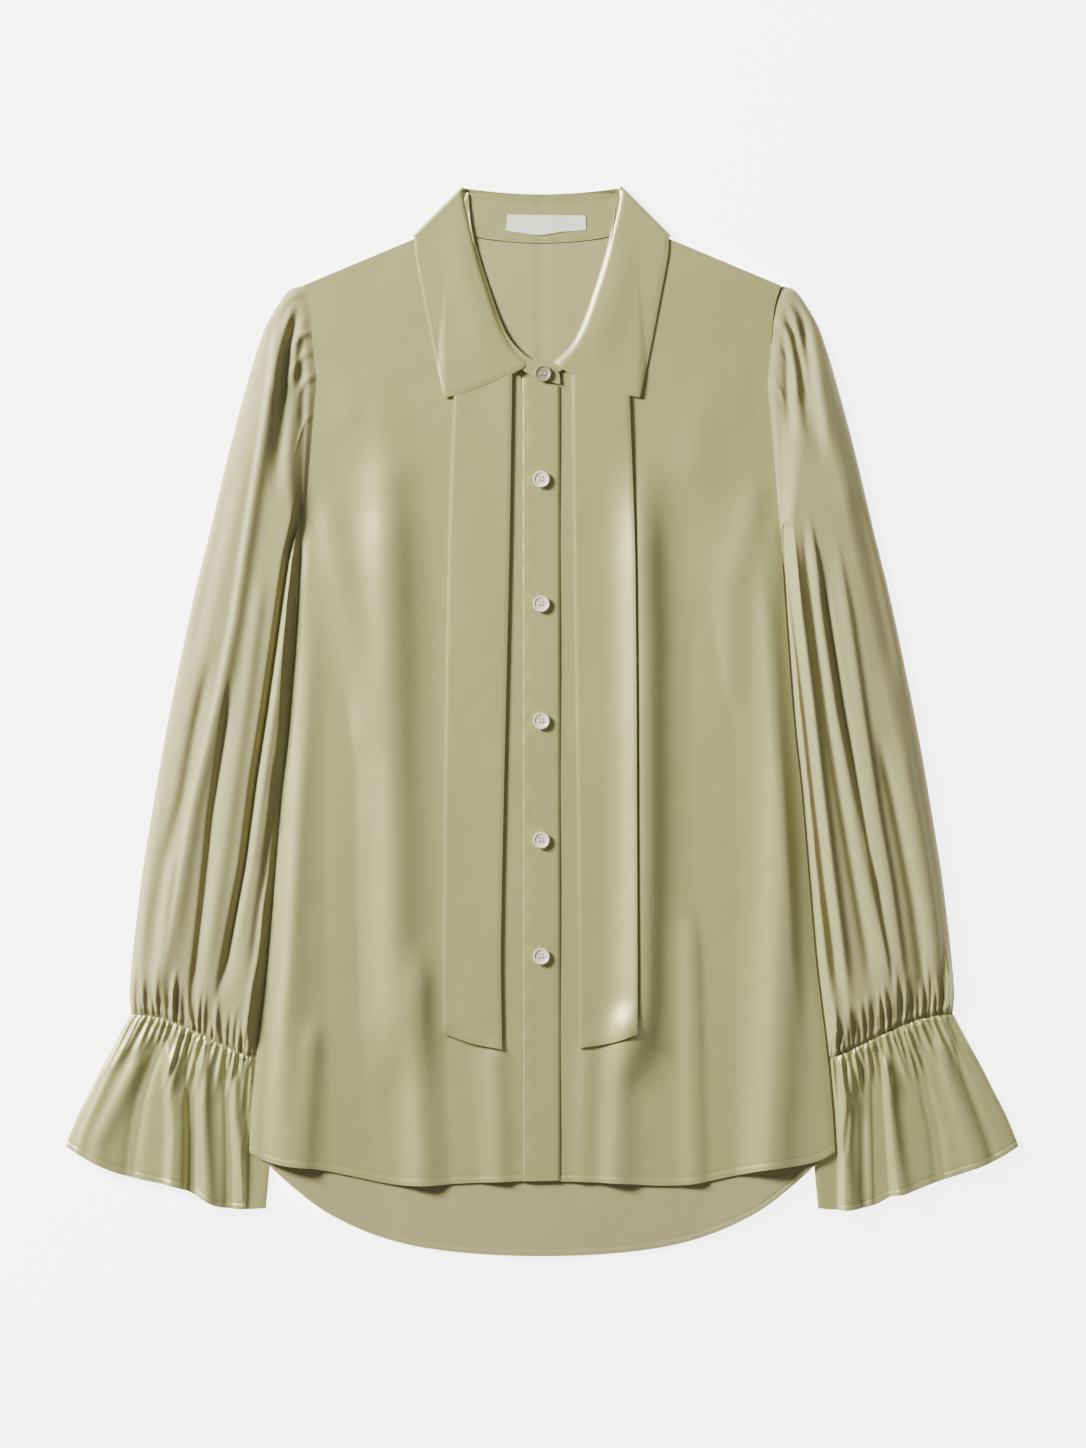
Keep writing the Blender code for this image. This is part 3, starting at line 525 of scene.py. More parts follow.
shapePiece(piece, spots[:, 0], spots[:, 1], spots[:, 2])
thicken(piece, leaf["thick"], -1.0, satin)
leafPiece = addTo(piece, ["collar_leaf"])

# rows of the stand: lower edge x and y, upper edge x and y, level in steps
standRows = [
    (14.4, 269.6, 14.0, 277.6, 2.0), (9.0, 270.8, 8.4, 282.6, 2.0), (0.0, 273.0, -1.0, 286.4, 2.0),
    (-15.6, 281.0, -12.6, 292.0, 2.0), (-33.4, 299.4, -26.6, 306.6, 2.0), (-47.8, 323.4, -38.6, 329.6, 2.0),
    (-60.6, 352.8, -49.0, 360.0, 2.0), (-71.4, 380.0, -56.6, 396.0, 2.0), (-73.0, 395.2, -59.0, 422.6, 2.0),
    (-73.6, 395.9, -59.8, 422.9, 1.5),
    (-73.0, 395.2, -59.0, 422.6, 1.0), (-53.0, 387.8, -50.0, 422.2, 1.0), (-27.0, 383.8, -27.0, 421.6, 1.0),
    (0.0, 382.6, 0.0, 421.0, 1.0), (27.0, 383.8, 27.0, 421.6, 1.0), (53.0, 387.8, 50.0, 422.2, 1.0),
    (73.0, 395.2, 59.0, 422.6, 1.0), (73.6, 395.9, 59.8, 422.9, 1.5), (73.0, 395.2, 59.0, 422.6, 2.0),
    (71.4, 380.0, 56.6, 396.0, 2.0), (60.6, 352.8, 49.0, 360.0, 2.0), (47.8, 323.4, 38.6, 329.6, 2.0),
    (33.4, 299.4, 26.6, 306.6, 1.7), (15.6, 281.0, 12.6, 292.0, 1.2), (2.0, 276.6, 2.4, 289.4, 1.0),
    (-8.6, 279.0, -8.0, 289.8, 1.0),
]
stand = {"across": 24, "perRow": 6, "stitchIn": 7.0, "thick": 0.8, "deep": 39.0, "turnRows": [8, 9, 15, 16]}
table = np.array(standRows)
fineCount = (len(standRows) - 1) * stand["perRow"]
piece, u, v = gridPiece("stand_band", stand["across"], fineCount)
place = v * (len(standRows) - 1)
i = np.minimum(place.astype(int), len(standRows) - 2)
k = (place - i)[:, None]
before, after = table[i], table[i + 1]
ahead = table[np.minimum(i + 2, len(standRows) - 1)]
behind = table[np.maximum(i - 1, 0)]
mix = before + (after - before) * k
gentle = 0.5 * ((2 * before) + (after - behind) * k + (2 * behind - 5 * before + 4 * after - ahead) * k**2
                + (3 * before - behind - 3 * after + ahead) * k**3)
turning = np.isin(i, stand["turnRows"])[:, None]
rowSpot = np.where(turning, mix, gentle)
x = rowSpot[:, 2] * (1 - u) + rowSpot[:, 0] * u
y = rowSpot[:, 3] * (1 - u) + rowSpot[:, 1] * u
z = mix[:, 4] * step + body["wall"]
inBack = (np.abs(x) < 58) & (y > 380)
fromTop = u * stand["deep"]
z = z - 0.3 * np.exp(-((fromTop - stand["stitchIn"]) / 0.8) ** 2) * inBack
z = z - 0.35 * np.exp(-(x / 1.0) ** 2) * inBack
z = z + 0.5 * np.exp(-(fromTop / 3.0) ** 2) * inBack
puckers = np.sin(x / 3.6 + 2 * np.sin(x / 17.0))
z = z + 0.22 * puckers * np.exp(-((stand["deep"] - fromTop) / 5.0) ** 2) * inBack
shapePiece(piece, x, y, z)
thicken(piece, stand["thick"], 0.0, satin)
standPiece = addTo(piece, ["collar_stand"])
print("collar done")

# label
label = {"top": [(-27.6, 405.2), (3.0, 404.8), (34.8, 404.4)],
         "low": [(-28.4, 392.4), (-1.6, 389.0), (15.0, 391.4), (35.2, 393.2)]}
piece, u, v = gridPiece("woven_label", 60, 16)
spots = fourSided(softCurve(label["top"]), softCurve(label["low"]),
                  straight(label["top"][0], label["low"][0]),
                  straight(label["top"][-1], label["low"][-1]))(u, v)
x, y = spots[:, 0], spots[:, 1]
z = step + body["wall"] + 0.75 + 0.35 * np.sin(np.pi * u) * np.sin(np.pi * u) + 0.1 * np.sin(x / 5.0)
shapePiece(piece, x, y, z)
faceUp(piece)
labelStuff, nodes, links, shader = nodeMaterial("label tape", (0.87, 0.81, 0.72), 0.7)
place = nodes.new("ShaderNodeTexCoord")
ribs = nodes.new("ShaderNodeTexWave")
ribs.inputs["Scale"].default_value = 600
links.new(place.outputs["Object"], ribs.inputs["Vector"])
bump = nodes.new("ShaderNodeBump")
bump.inputs["Strength"].default_value = 0.25
bump.inputs["Distance"].default_value = 0.0002
links.new(ribs.outputs["Fac"], bump.inputs["Height"])
links.new(bump.outputs["Normal"], shader.inputs["Normal"])
thicken(piece, 0.4, -1.0, labelStuff)
labelPiece = addTo(piece, ["neck_label"])
print("label done")

# sleeves
sleeve = {"columns": 190, "topShare": 0.84, "rows": 190, "crown": 6.6, "armholeTop": 4.0, "wristTop": 3.4,
          "pinched": 2.5, "length": 560.0, "tuckCap": 0.012, "tuckWrist": 0.008, "tuckIn": 2.6, "tuckDown": 2.4,
          "tuckLevel": 1.75}
sleeveOuter = [
    (191.9, 348.4), (200.8, 345.4), (207.0, 338.8), (219.6, 318.0), (226.8, 298.8), (232.8, 279.6),
    (248.4, 222.0), (266.8, 145.2), (276.4, 106.8), (284.8, 68.4), (300.4, -8.4), (313.6, -85.2),
    (319.6, -123.6), (324.4, -162.0), (328.4, -200.4), (329.4, -219.6), (328.2, -233.0),
]
sleeveInner = [
    (192.9, 152.0), (192.7, 122.0), (193.4, 88.0), (197.6, -4.0), (201.0, -55.0), (204.4, -126.0),
    (208.0, -191.0), (211.0, -235.0), (213.6, -274.0),
]
wristLine = [
    (328.2, -233.0), (315.0, -234.6), (299.6, -238.0), (285.6, -243.6), (271.0, -250.2), (256.8, -257.2),
    (242.4, -264.0), (228.0, -270.0), (213.6, -274.0),
]
leftSleeveFolds = [
    ([(208, 334), (212, 310), (216, 272), (222, 232), (238, 129), (245, 82), (256, 27), (268, -24),
      (278, -64), (288, -126), (297, -183), (303, -228)], 5, 8, 3.4, 1, False),
    ([(191, 336), (198, 316), (202, 303), (206, 279), (208, 241), (209, 225),
      (213, 170)], 3.2, 6, -3.6, 0, False),
    ([(196, 342), (204, 318), (210, 290), (213, 250)], 2.6, 4, 1.6, 0, False),
    ([(184, 318), (190, 305), (192, 293), (195, 262)], 2.6, 4, -2.2, 0, False),
    ([(184, 300), (189, 288), (190, 262), (191, 230)], 2.6, 4, -1.4, 0, False),
    ([(186, 330), (194, 312), (198, 290), (200, 262)], 2.4, 4, 1.3, 0, False),
    ([(191, 190), (197, 160), (204, 129), (213, 64), (221, 7), (229, -44), (238, -116), (252, -190),
      (262, -236)], 4, 6.5, -6.0, 1, False),
    ([(196, 150), (201, 110), (208, 60), (215, 8), (223, -48), (231, -104), (242, -164), (250, -205)],
     2.4, 4.5, 2.4, 0, False),
    ([(222, 129), (228, 80), (236, 20), (244, -36), (254, -104), (264, -170),
      (272, -222)], 5, 7, 1.8, 0, False),
    ([(262, 60), (276, -4), (286, -60), (300, -110), (308, -160), (312, -220)], 5, 7, -2.8, 0, False),
    ([(248, 40), (256, -20), (264, -75), (270, -136), (276, -190), (282, -236)], 4, 6, -3.2, 1, False),
    ([(292, -100), (300, -150), (305, -200), (306, -232)], 4, 6, 2.2, 0, False),
    ([(209, -20), (214, -70), (219, -105), (226, -160), (232, -220)], 3, 5, -2.8, 0, False),
    ([(240, 270), (254, 200), (268, 120), (282, 40)], 8, 10, -1.6, 0, False),
    ([(300, -30), (314, -110), (321, -180), (322, -228)], 4, 5, 1.2, 0, False),
    ([(226, 305), (240, 240), (254, 180)], 5, 9, 1.2, 0, False),
    ([(218, -120), (226, -180), (234, -240), (238, -258)], 3, 4, 1.6, 0, False),
]
rightSleeveFolds = [
    ([(197, 348), (205, 336), (210, 323), (211, 308), (214, 284), (218, 247),
      (225, 196)], 3.2, 7, -4.2, 0, False),
    ([(188, 335), (197, 318), (201, 308), (205, 296), (208, 281), (210, 254),
      (214, 210)], 2.8, 5, -3.2, 0, False),
    ([(184, 316), (188, 312), (192, 303), (195, 288), (197, 257), (200, 220)], 2.6, 4.5, -2.4, 0, False),
    ([(202, 344), (212, 326), (217, 300), (221, 262), (230, 200)], 3.4, 7, 2.0, 0, False),
    ([(192, 342), (201, 324), (206, 306), (210, 284), (213, 262)], 2.2, 3.2, 1.6, 0, False),
    ([(186, 328), (195, 312), (199, 298), (202, 276), (204, 250)], 2.2, 3.2, 1.4, 0, False),
    ([(194, 150), (198, 110), (204, 60), (211, 1), (218, -63), (225, -127), (233, -191), (240, -240)],
     3, 5, -5.0, 0, False),
    ([(196, 160), (200, 129), (208, 74), (215, 17), (223, -55), (231, -120), (240, -190), (246, -236)],
     3.2, 4.6, 3.4, -1, False),
    ([(208, 165), (212, 120), (219, 60), (228, 0), (238, -60), (248, -118), (259, -180), (266, -236)],
     3, 5, -2.4, 0, False),
    ([(212, 170), (218, 129), (226, 68), (235, 7), (246, -44), (256, -91), (266, -146), (274, -190),
      (280, -234)], 4.5, 6, 3.2, 1, False),
    ([(222, 120), (227, 88), (237, 25), (248, -39), (259, -103), (266, -130),
      (276, -190)], 3.5, 5, -2.8, 0, False),
    ([(232, 160), (244, 88), (251, 40), (258, -9), (268, -75), (277, -126), (286, -190), (292, -232)],
     6, 7.5, 2.6, 1, False),
    ([(266, 0), (281, -64), (290, -110), (297, -146), (303, -190), (308, -228)], 4.5, 6, -2.8, 0, False),
    ([(284, 0), (300, -80), (312, -150), (318, -210)], 6, 7, 1.6, 0, False),
    ([(240, 270), (256, 180), (270, 90), (284, 20)], 8, 10, -1.5, 0, False),
    ([(226, 305), (238, 240), (252, 160)], 5, 9, 1.2, 0, False),
]


def beside(x, y, height):
    clear = np.abs(x) - bodyHalf(y) - 2.0
    free = ramp(body["underarm"], body["underarm"] + 26.0, y)
    limit = sleeve["pinched"] + np.maximum(clear, 0.0) * 1.1
    return np.minimum(height, limit + 14.0 * free)


def gatherField(u, v, seed, count, near, far, height, thin, wide):
    # small puffs that fan out from the gathered line; v is the way from that line in millimetres
    pick = np.random.RandomState(seed)
    total = np.zeros_like(u)
    for k in range(count):
        middle = (k + 0.5 + 0.32 * pick.uniform(-1, 1)) / count
        reach = pick.uniform(near, far)
        tall = height * pick.uniform(0.55, 1.2)
        drift = pick.uniform(-0.02, 0.02)
        wide2 = wide * pick.uniform(0.7, 1.3)
        share = np.clip(v / reach, 0.0, 1.0)
        width = thin + (wide2 - thin) * share
        fade = ramp(0.0, 0.10, share) * 0.75 + 0.25
        fade = fade * ramp(1.0, 0.35, share)
        total += tall * fade * np.exp(-((u - middle - drift * share) / width) ** 2)
    return total


def armholeCurve(side):
    points = [(half + 0.7, y) for y, half in bodySide if y > body["underarm"]]
    return softCurve(sided([sleeveOuter[0]] + points[1:] + [sleeveInner[0]], side))


def aroundTube(piece, u, v, spot, topHeight, underHeight, topShare, tuck=None):
    # grid columns run over the top from the outer edge, then back underneath
    onTop = u <= topShare
    across = np.where(onTop, u / topShare, 1 - (u - topShare) / (1 - topShare))
    across = np.clip(across, 0.0, 1.0)
    spots = spot(across, v)
    x, y = spots[:, 0], spots[:, 1]
    z = np.where(onTop, topHeight(across, v, x, y), underHeight(across, v, x, y))
    # the two layers meet at the outer and inner fold
    seam = np.minimum(across, 1 - across) * 120.0
    meet = np.clip(seam / 4.0, 0.0, 1.0)
    share = np.sqrt(meet * (2 - meet))
    level = 1.15
    z = np.where(seam < 4.0, level + (z - level) * share, z)
    if tuck is not None:
        x, y, z = tuck(v, x, y, z, onTop)
    shapePiece(piece, x, y, z)
    bpy.ops.object.mode_set(mode="EDIT")
    bpy.ops.mesh.select_all(action="SELECT")
    bpy.ops.mesh.remove_doubles(threshold=0.00002)
    bpy.ops.mesh.normals_make_consistent(inside=False)
    bpy.ops.object.mode_set(mode="OBJECT")
    return piece


for name, side, folds, seed in (("left", -1, leftSleeveFolds, 3), ("right", 1, rightSleeveFolds, 8)):
    piece, u, v = gridPiece("full_sleeve_" + name, sleeve["columns"], sleeve["rows"])
    v = np.interp(v, [0.0, 0.22, 0.80, 1.0], [0.0, 0.16, 0.86, 1.0])
    spot = fourSided(
        armholeCurve(side), softCurve(sided(wristLine, side)),
        softCurve(sided(sleeveOuter, side)), softCurve(sided(sleeveInner, side)),
    )

    def sleeveTop(u, v, x, y, folds=folds, seed=seed):
        outer = np.sqrt(ramp(0.0, 0.16, u + 0.006))
        inner = ramp(1.0, 0.80, u)
        puff = ramp(0.0, 0.13, v) * ramp(1.0, 0.93, v)
        ends = sleeve["armholeTop"] + (sleeve["wristTop"] - sleeve["armholeTop"]) * v
        base = sleeve["pinched"] + (ends - sleeve["pinched"] + sleeve["crown"] * puff) * outer * inner
        rise = foldField(folds, np.abs(x), y) * ramp(0.0, 0.08, u) * ramp(0.0, 0.045, v) * ramp(1.0, 0.965, v)
        away = (1 - v) * sleeve["length"]
        gathers = gatherField(u, away, seed, 25, 16, 62, 2.3, 0.011, 0.020)
        gathers += gatherField(u, away, seed + 20, 34, 5, 14, 1.0, 0.006, 0.010)
        gathers *= ramp(0.0, 0.03, u) * ramp(1.0, 0.95, u)
        caps = gatherField(u, v * sleeve["length"], seed + 40, 9, 18, 46, 1.3, 0.014, 0.024)
        caps *= ramp(0.62, 0.4, u)
        full = np.maximum(base + rise, sleeve["pinched"]) + gathers + caps
        return np.maximum(beside(x, y, full), sleeve["pinched"])

    def sleeveTuck(v, x, y, z, onTop, side=side):
        # the cap's edge goes under the front panel, the wrist edge under the flounce
        atCap = ramp(sleeve["tuckCap"], 0.0, v) * onTop
        atWrist = ramp(1.0 - sleeve["tuckWrist"], 1.0, v) * onTop
        newX = x - side * sleeve["tuckIn"] * atCap
        newY = y - sleeve["tuckDown"] * atWrist
        newZ = z + (sleeve["tuckLevel"] - z) * np.maximum(atCap, atWrist)
        return newX, newY, newZ

    aroundTube(piece, u, v, spot, sleeveTop, lambda u, v, x, y: u * 0 + 0.05, sleeve["topShare"], sleeveTuck)
    thicken(piece, body["cloth"], -1.0, satin, wrongSide)
    addTo(piece, ["sleeve_" + name])
print("sleeves done")

# flounces
flounce = {"columns": 230, "topShare": 0.76, "rows": 84, "hollow": 3.2, "hem": 4.6, "length": 125.0}
flounceOuter = [
    (329.4, -234.4), (342.0, -258.0), (352.4, -277.2), (362.0, -296.4), (371.6, -315.2), (381.6, -339.5),
]
flounceInner = [(213.4, -275.0), (214.0, -310.0), (216.6, -350.0), (220.0, -389.2)]
flounceHems = {
    "left": [(381.6, -339.5), (357.0, -353.6), (337.6, -361.8), (316.0, -367.0), (296.0, -371.2),
             (284.0, -375.0),
             (273.6, -380.6), (261.6, -386.8), (252.0, -389.0), (236.0, -390.0), (220.0, -389.2)],
    "right": [(381.6, -339.5), (361.6, -351.4), (333.6, -362.0), (308.8, -370.6), (290.4, -377.6),
             (279.0, -379.8),
              (267.2, -386.0), (247.2, -390.4), (233.0, -390.4), (220.0, -389.2)],
}
leftFlounceFolds = [
    ([(316, -239), (324, -273), (336, -299), (354, -335), (358, -362)], 4, 11, 2.8, 0, True),
    ([(327, -247), (346, -283), (366, -327), (372, -350)], 3, 6, 1.2, 0, True),
    ([(305, -246), (309, -268), (315, -281), (321, -300), (327, -335), (331, -372)], 3, 8, -2.6, 0, True),
    ([(299, -247), (297, -287), (294, -327), (296, -380)], 5, 11, 4.6, 1, True),
    ([(282, -246), (281, -287), (280, -328), (281, -384)], 2.6, 4.4, -6.5, 0, True),
    ([(267, -256), (270, -305), (269, -340), (266, -396)], 4, 7, 4.6, 0, True),
    ([(253, -262), (251, -316), (250, -351), (250, -398)], 2.4, 4.5, -3.0, 0, True),
    ([(245, -268), (245, -316), (239, -352), (230, -397)], 3, 6, 3.0, 0, True),
    ([(237, -272), (235, -311), (232, -343), (226, -380)], 2.5, 3.5, -2.2, 0, True),
]
rightFlounceFolds = [
    ([(266, -252), (268, -287), (270, -327), (272, -384)], 2.8, 6, -6.2, 0, True),
    ([(274, -252), (277, -303), (281, -343), (287, -386)], 4, 9, 4.8, -1, True),
    ([(248, -262), (243, -303), (242, -343), (245, -398)], 4, 8, 4.2, 0, True),
    ([(254, -262), (256, -300), (257, -340), (258, -398)], 2, 4, -1.8, 0, True),
    ([(246, -296), (244, -320), (241, -351)], 1.4, 1.8, -1.3, 0, False),
    ([(296, -244), (304, -287), (314, -327), (320, -376)], 3, 8, -2.6, 0, True),
    ([(312, -240), (326, -287), (340, -327), (350, -366)], 4, 11, 3.0, 0, True),
    ([(325, -246), (341, -291), (358, -335), (364, -360)], 3, 6, -1.6, 0, True),
    ([(233, -270), (230, -310), (228, -350), (228, -396)], 2.5, 5, -1.6, 0, True),
]
flouncePieces = {}
for name, side, folds, seed in (("left", -1, leftFlounceFolds, 5), ("right", 1, rightFlounceFolds, 12)):
    piece, u, v = gridPiece("flounce_" + name, flounce["columns"], flounce["rows"])
    v = np.interp(v, [0.0, 0.30, 0.88, 1.0], [0.0, 0.18, 0.955, 1.0])
    wrist = sided(wristLine, side)
    upper = [(p[0], p[1] - 0.7) for p in wrist[1:-1]]
    upper = [sided(flounceOuter, side)[0]] + upper + [sided(flounceInner, side)[0]]
    spot = fourSided(
        softCurve(upper), softCurve(sided(flounceHems[name], side)),
        softCurve(sided(flounceOuter, side)), softCurve(sided(flounceInner, side)),
    )

    def flounceTop(u, v, x, y, folds=folds, seed=seed):
        waves = foldField(folds, np.abs(x), y) * ramp(0.0, 0.07, u) * ramp(-0.1, 0.3, v)
        away = v * flounce["length"]
        gathers = gatherField(u, away, seed, 24, 18, 70, 2.4, 0.012, 0.020)
        gathers += gatherField(u, away, seed + 20, 34, 4, 12, 0.9, 0.006, 0.010)
        gathers *= ramp(0.0, 0.04, u) * ramp(1.0, 0.94, u)
        edge = sleeve["pinched"] + (1.2 + 1.0 * v) * np.sqrt(ramp(0.0, 0.10, u))
        full = np.maximum(edge + waves, sleeve["pinched"]) + gathers
        fromHem = (1 - v) * flounce["length"]
        full = full + 0.3 * ramp(flounce["hem"] + 0.7, flounce["hem"] - 0.4, fromHem)
        full = full - 0.35 * np.exp(-((fromHem - flounce["hem"]) / 0.7) ** 2)
        return np.maximum(beside(x, y, full), sleeve["pinched"])

    def flounceUnder(u, v, x, y, top=flounceTop):
        return np.maximum(top(u, v, x, y) - 2.2 - flounce["hollow"], 0.05)

    aroundTube(piece, u, v, spot, flounceTop, flounceUnder, flounce["topShare"])
    thicken(piece, body["cloth"], -1.0, satin, wrongSide)
    flouncePieces[name] = addTo(piece, ["ruffle_" + name])
print("flounces done")

# buttons
button = {"radius": 6.5, "thick": 2.4, "rim": 1.1, "dish": 0.6, "hole": 0.75, "apart": 1.35, "x": -0.5,
          "rows": [193.6, 94.0, 0.4, -94.8, -187.6], "base": 4.5, "topX": 0.8, "topY": 278.0}


def buttonMaterial(name, colour, shade):
    made, nodes, links, shader = nodeMaterial(name, colour, 0.28)
    shader.inputs["Coat Weight"].default_value = 0.25
    place = nodes.new("ShaderNodeTexCoord")
    cloud = nodes.new("ShaderNodeTexNoise")
    cloud.inputs["Scale"].default_value = 220
    links.new(place.outputs["Object"], cloud.inputs["Vector"])
    blend = nodes.new("ShaderNodeMix")
    blend.data_type = "RGBA"
    blend.inputs[6].default_value = (*colour, 1)
    blend.inputs[7].default_value = (*shade, 1)
    links.new(cloud.outputs["Fac"], blend.inputs[0])
    links.new(blend.outputs[2], shader.inputs["Base Color"])
    return made


creamButton = buttonMaterial("cream button", (0.86, 0.80, 0.64), (0.74, 0.67, 0.50))
oliveButton = buttonMaterial("olive button", (0.32, 0.30, 0.17), (0.24, 0.22, 0.12))
creamThread, _, _, _ = nodeMaterial("button thread", (0.80, 0.76, 0.60), 0.6)


def makeButton(name, x, y, stuff):
    bpy.ops.object.select_all(action="DESELECT")
    bpy.ops.mesh.primitive_cylinder_add(vertices=48, radius=button["radius"] * mm, depth=button["thick"] * mm)
    disc = bpy.context.object
    disc.name = name
    bpy.ops.object.mode_set(mode="EDIT")
    bpy.ops.mesh.select_all(action="SELECT")
    bpy.ops.mesh.select_mode(type="FACE")
    bpy.ops.object.mode_set(mode="OBJECT")
    for face in disc.data.polygons:
        face.select = face.normal.z > 0.9
    bpy.ops.object.mode_set(mode="EDIT")
    bpy.ops.mesh.inset(thickness=button["rim"] * mm, depth=0)
    bpy.ops.mesh.inset(thickness=0.7 * mm, depth=-button["dish"] * mm)
    bpy.ops.object.mode_set(mode="OBJECT")
    for dx in (-1, 1):
        for dy in (-1, 1):
            bpy.ops.mesh.primitive_cylinder_add(
                vertices=16, radius=button["hole"] * mm, depth=4 * button["thick"] * mm,
                location=(dx * button["apart"] * mm, dy * button["apart"] * mm, 0),
            )
            drill = bpy.context.object
            cut = disc.modifiers.new("hole", "BOOLEAN")
            cut.object = drill
            cut.operation = "DIFFERENCE"
            cut.solver = "EXACT"
            bpy.context.view_layer.objects.active = disc
            bpy.ops.object.modifier_apply(modifier=cut.name)
            bpy.data.objects.remove(drill, do_unlink=True)
    soften = disc.modifiers.new("soft rim", "BEVEL")
    soften.width = 0.35 * mm
    soften.segments = 3
    soften.angle_limit = math.radians(40)
    bpy.ops.object.select_all(action="DESELECT")
    disc.select_set(True)
    bpy.context.view_layer.objects.active = disc
    bpy.ops.object.modifier_apply(modifier=soften.name)
    base = button["base"] + button["thick"] / 2 - 0.1
    disc.data.transform(Matrix.Translation((x * mm, y * mm, base * mm)))
    disc.data.materials.append(stuff)
    bpy.ops.object.shade_smooth_by_angle(angle=math.radians(35))
    return disc


buttonPieces = []
for number, y in enumerate(button["rows"], start=1):
    made = makeButton("shirt_button_%d" % number, button["x"], y, creamButton)
    buttonPieces.append(addTo(made, ["button_%d" % number]))
made = makeButton("stand_button", button["topX"], button["topY"], oliveButton)
buttonPieces.append(addTo(made, ["button_top"]))
print("buttons done")

# sewing: one small stitch repeated by an array, then laid along its line on the cloth
sewing = {"stitch": 2.0, "pitch": 2.7, "thick": 0.34, "sunk": 0.06}


def heightOn(cloth, x, y):
    found, spot, _, _ = cloth.ray_cast(Vector((x * mm, y * mm, 0.2)), Vector((0, 0, -1)))
    return spot.z / mm if found else None


def sewRow(name, cloth, line, length, slotName="satin", stuff=None, stitch=None, pitch=None, thick=None):
    stitch = stitch or sewing["stitch"]
    pitch = pitch or sewing["pitch"]
    thick = thick or sewing["thick"]
    count = max(int(length / pitch), 1)
    bpy.ops.object.select_all(action="DESELECT")
    bpy.ops.mesh.primitive_uv_sphere_add(segments=6, ring_count=4, radius=0.5)
    row = bpy.context.object
    row.name = name
    row.data.transform(Matrix.Diagonal((stitch, thick, thick, 1)) @ Matrix.Rotation(math.pi / 2, 4, "Y"))
    copies = row.modifiers.new("row", "ARRAY")
    copies.count = count
    copies.use_relative_offset = False
    copies.use_constant_offset = True
    copies.constant_offset_displace = (100, 0, 0)
    bpy.ops.object.modifier_apply(modifier=copies.name)
    spots = readSpots(row)
    which = np.rint(spots[:, 0] / 100).astype(int)
    along = spots[:, 0] - which * 100
    middle = (np.arange(count) + 0.5) / count
    start = line(middle - 0.5 * stitch / length)
    end = line(middle + 0.5 * stitch / length)
    keep = np.ones(count, bool)
    heights = np.zeros((count, 2))
    for k in range(count):
        for j, spot in enumerate((start[k], end[k])):
            level = heightOn(cloth, spot[0], spot[1])
            keep[k] = keep[k] and level is not None
            heights[k, j] = level or 0.0
    way = (end - start) / np.maximum(np.hypot(*(end - start).T), 0.001)[:, None]
    centre = (start + end) / 2
    share = along / stitch + 0.5
    x = centre[which, 0] + way[which, 0] * along - way[which, 1] * spots[:, 1]
    y = centre[which, 1] + way[which, 1] * along + way[which, 0] * spots[:, 1]
    z = heights[which, 0] * (1 - share) + heights[which, 1] * share + spots[:, 2] + thick / 2 - sewing["sunk"]
    shapePiece(row, x, y, z)
    if not keep.all():
        bpy.ops.object.mode_set(mode="EDIT")
        bpy.ops.mesh.select_all(action="DESELECT")
        bpy.ops.object.mode_set(mode="OBJECT")
        for vertex, k in zip(row.data.vertices, which):
            vertex.select = not keep[k]
        bpy.ops.object.mode_set(mode="EDIT")
        bpy.ops.mesh.delete(type="VERT")
        bpy.ops.object.mode_set(mode="OBJECT")
    row.data.materials.append(stuff or threadStuff)
    bpy.ops.object.shade_smooth()
    return addTo(row)


def inward(points, gap):
    # a line moved across its own direction by the gap
    spots = np.array(points, float)
    run = np.gradient(spots, axis=0)
    run /= np.hypot(*run.T)[:, None]
    return [tuple(spot) for spot in spots + np.stack([-run[:, 1], run[:, 0]], -1) * gap]


def lineLength(points):
    return float(np.hypot(*np.diff(np.array(points, float), axis=0).T).sum())


def sew(name, cloth, points, **more):
    sewRow("seam_" + name, cloth, softCurve(points), lineLength(points), **more)


bpy.context.view_layer.update()
backLine = inward(sided(backHem[::-1], -1) + sided(backHem[1:], 1), back["hem"])
sew("back_hem", backPanel, backLine)
for side, name in ((-1, "left"), (1, "right")):
    cloth = frontPieces["front_" + name]
    hemRows = [point for point in frontHem if point[0] > 17.0]
    sew("front_hem_" + name, cloth, [(point[0] * side, point[1] + front["hem"]) for point in hemRows])
    flounceLine = [(x * side, y + flounce["hem"]) for x, y in flounceHems[name][1:-1]]
    sew("flounce_hem_" + name, flouncePieces[name], flounceLine)
    wristRow = [(x * side, y - 2.6) for x, y in wristLine[:-1]]
    sew("wrist_gather_" + name, flouncePieces[name], wristRow, stitch=2.4, pitch=3.1, thick=0.5)
    outer = sided(leaf["outer"], side)
    corner = (outer[-1][0] - 3.6 * side, outer[-1][1] + 4.2)
    sew("collar_side_" + name, leafPiece, [(x - 3.2 * side, y) for x, y in outer[:-1]] + [corner])
    endLine = [(x * side + 1.2 * side, y + 3.6) for x, y in leaf["end"][1:-1]]
    sew("collar_end_" + name, leafPiece, endLine + [corner])
stitchX = body["placketLeft"] + placket["stitchIn"]
hemY = body["hemMiddle"]
sew("placket_line", placketPiece, [(stitchX, 262.0), (stitchX, hemY + 6.0)])
sew("placket_hem", placketPiece, [
    (body["placketLeft"] + 3.0, hemY + 5.2), (body["placketRight"] - 3.0, hemY + 5.6),
])
sew("stand_top", standPiece, [(-50.0, 415.2), (-25.0, 414.7), (0.0, 414.4), (25.0, 414.7), (50.0, 415.2)])
sew("stand_foot", standPiece, [(-54.0, 390.2), (-27.0, 386.2), (0.0, 385.0), (27.0, 386.2), (54.0, 390.2)])
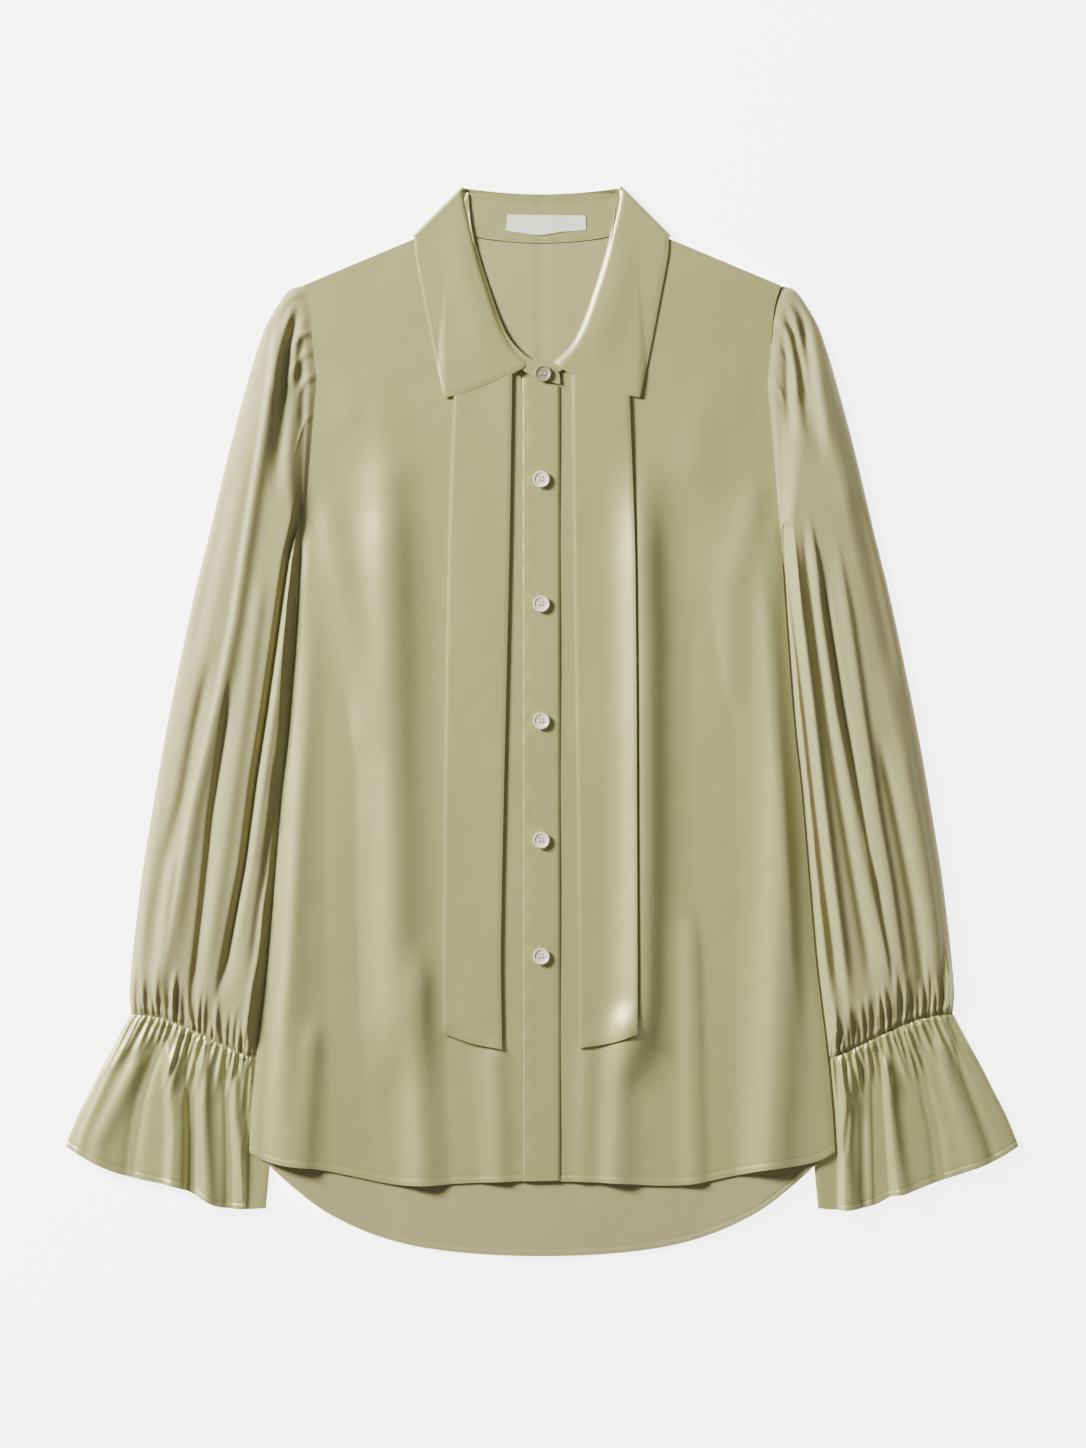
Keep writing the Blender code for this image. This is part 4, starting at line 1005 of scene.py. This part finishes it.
for name, x in (("left", -26.4), ("right", 33.4), ("fold", 18.4)):
    sew("label_" + name, labelPiece, [(x, 403.0), (x, 393.8)], slotName="label", stuff=labelThread,
        stitch=1.6, pitch=2.1, thick=0.3)
print("sewing done")

# buttonholes and button threads
hole = {"reach": 7.4, "half": 1.15, "thick": 0.62, "threadLong": 3.0, "thread": 0.75}


def makeLoop(name, x, y, level, stuff, reach):
    bpy.ops.mesh.primitive_torus_add(
        major_segments=20, minor_segments=8, major_radius=hole["half"], minor_radius=hole["thick"] / 2,
    )
    loop = bpy.context.object
    loop.name = name
    spots = readSpots(loop)
    stretch = np.sign(spots[:, 1]) * (np.abs(spots[:, 1]) > 0.02) * reach
    shapePiece(loop, spots[:, 0] + x, spots[:, 1] + stretch + y, spots[:, 2] * 0.7 + level + 0.05)
    loop.data.materials.append(stuff)
    bpy.ops.object.shade_smooth()
    return addTo(loop)


def makeThreads(name, x, y, level, stuff):
    bars = []
    for dx in (-1, 1):
        bpy.ops.mesh.primitive_uv_sphere_add(segments=10, ring_count=8, radius=0.5)
        bar = bpy.context.object
        across = hole["thread"] * mm
        bar.data.transform(Matrix.Diagonal((across, hole["threadLong"] * mm, across, 1)))
        bar.data.transform(Matrix.Translation(((x + dx * button["apart"]) * mm, y * mm, level * mm)))
        bars.append(bar)
    bpy.ops.object.select_all(action="DESELECT")
    for bar in bars:
        bar.select_set(True)
    bpy.context.view_layer.objects.active = bars[0]
    bpy.ops.object.join()
    pair = bpy.context.object
    pair.name = name
    pair.data.materials.append(stuff)
    bpy.ops.object.shade_smooth()
    return addTo(pair)


dishLevel = button["base"] + button["thick"] - 0.1 - button["dish"] + 0.15
for number, y in enumerate(button["rows"], start=1):
    level = heightOn(placketPiece, button["x"], y + 9.0)
    makeLoop("buttonhole_%d" % number, button["x"], y, level, threadStuff, hole["reach"])
    makeThreads("button_thread_%d" % number, button["x"], y, dishLevel, creamThread)
makeThreads("stand_button_thread", button["topX"], button["topY"], dishLevel, creamThread)
print("buttonholes and threads done")

# floor, light and camera
studio = {"floorTone": 0.90, "floorGlow": 4.6, "room": 0.11, "lens": 93.2, "eye": (0.0008, -0.002, 3.0)}
bpy.ops.mesh.primitive_plane_add(size=8, location=(0, 0, -0.0006))
floor = bpy.context.object
floor.name = "floor"
floorStuff, _, _, _ = nodeMaterial("white table", (studio["floorTone"],) * 3, 0.9)
floorShader = floorStuff.node_tree.nodes["Principled BSDF"]
floorShader.inputs["Emission Color"].default_value = (1, 1, 1, 1)
floorShader.inputs["Emission Strength"].default_value = studio["floorGlow"]
floor.data.materials.append(floorStuff)

lamps = {"key": ((-2.5, 1.5, 1.35), 0.8, 410.0), "fill": ((1.9, -0.6, 2.6), 2.2, 16.0)}
for name, (spot, size, power) in lamps.items():
    lamp = bpy.data.lights.new(name, "AREA")
    lamp.size = size
    lamp.energy = power
    holder = bpy.data.objects.new(name, lamp)
    bpy.context.scene.collection.objects.link(holder)
    holder.location = spot
    holder.rotation_euler = Vector(spot).to_track_quat("Z", "Y").to_euler()
world = bpy.data.worlds.new("soft room")
world.use_nodes = True
world.node_tree.nodes["Background"].inputs["Color"].default_value = (1, 1, 1, 1)
world.node_tree.nodes["Background"].inputs["Strength"].default_value = studio["room"]
bpy.context.scene.world = world

lens = bpy.data.cameras.new("camera")
lens.lens = studio["lens"]
camera = bpy.data.objects.new("camera", lens)
camera.location = studio["eye"]
bpy.context.scene.collection.objects.link(camera)
bpy.context.scene.camera = camera
print("scene set")
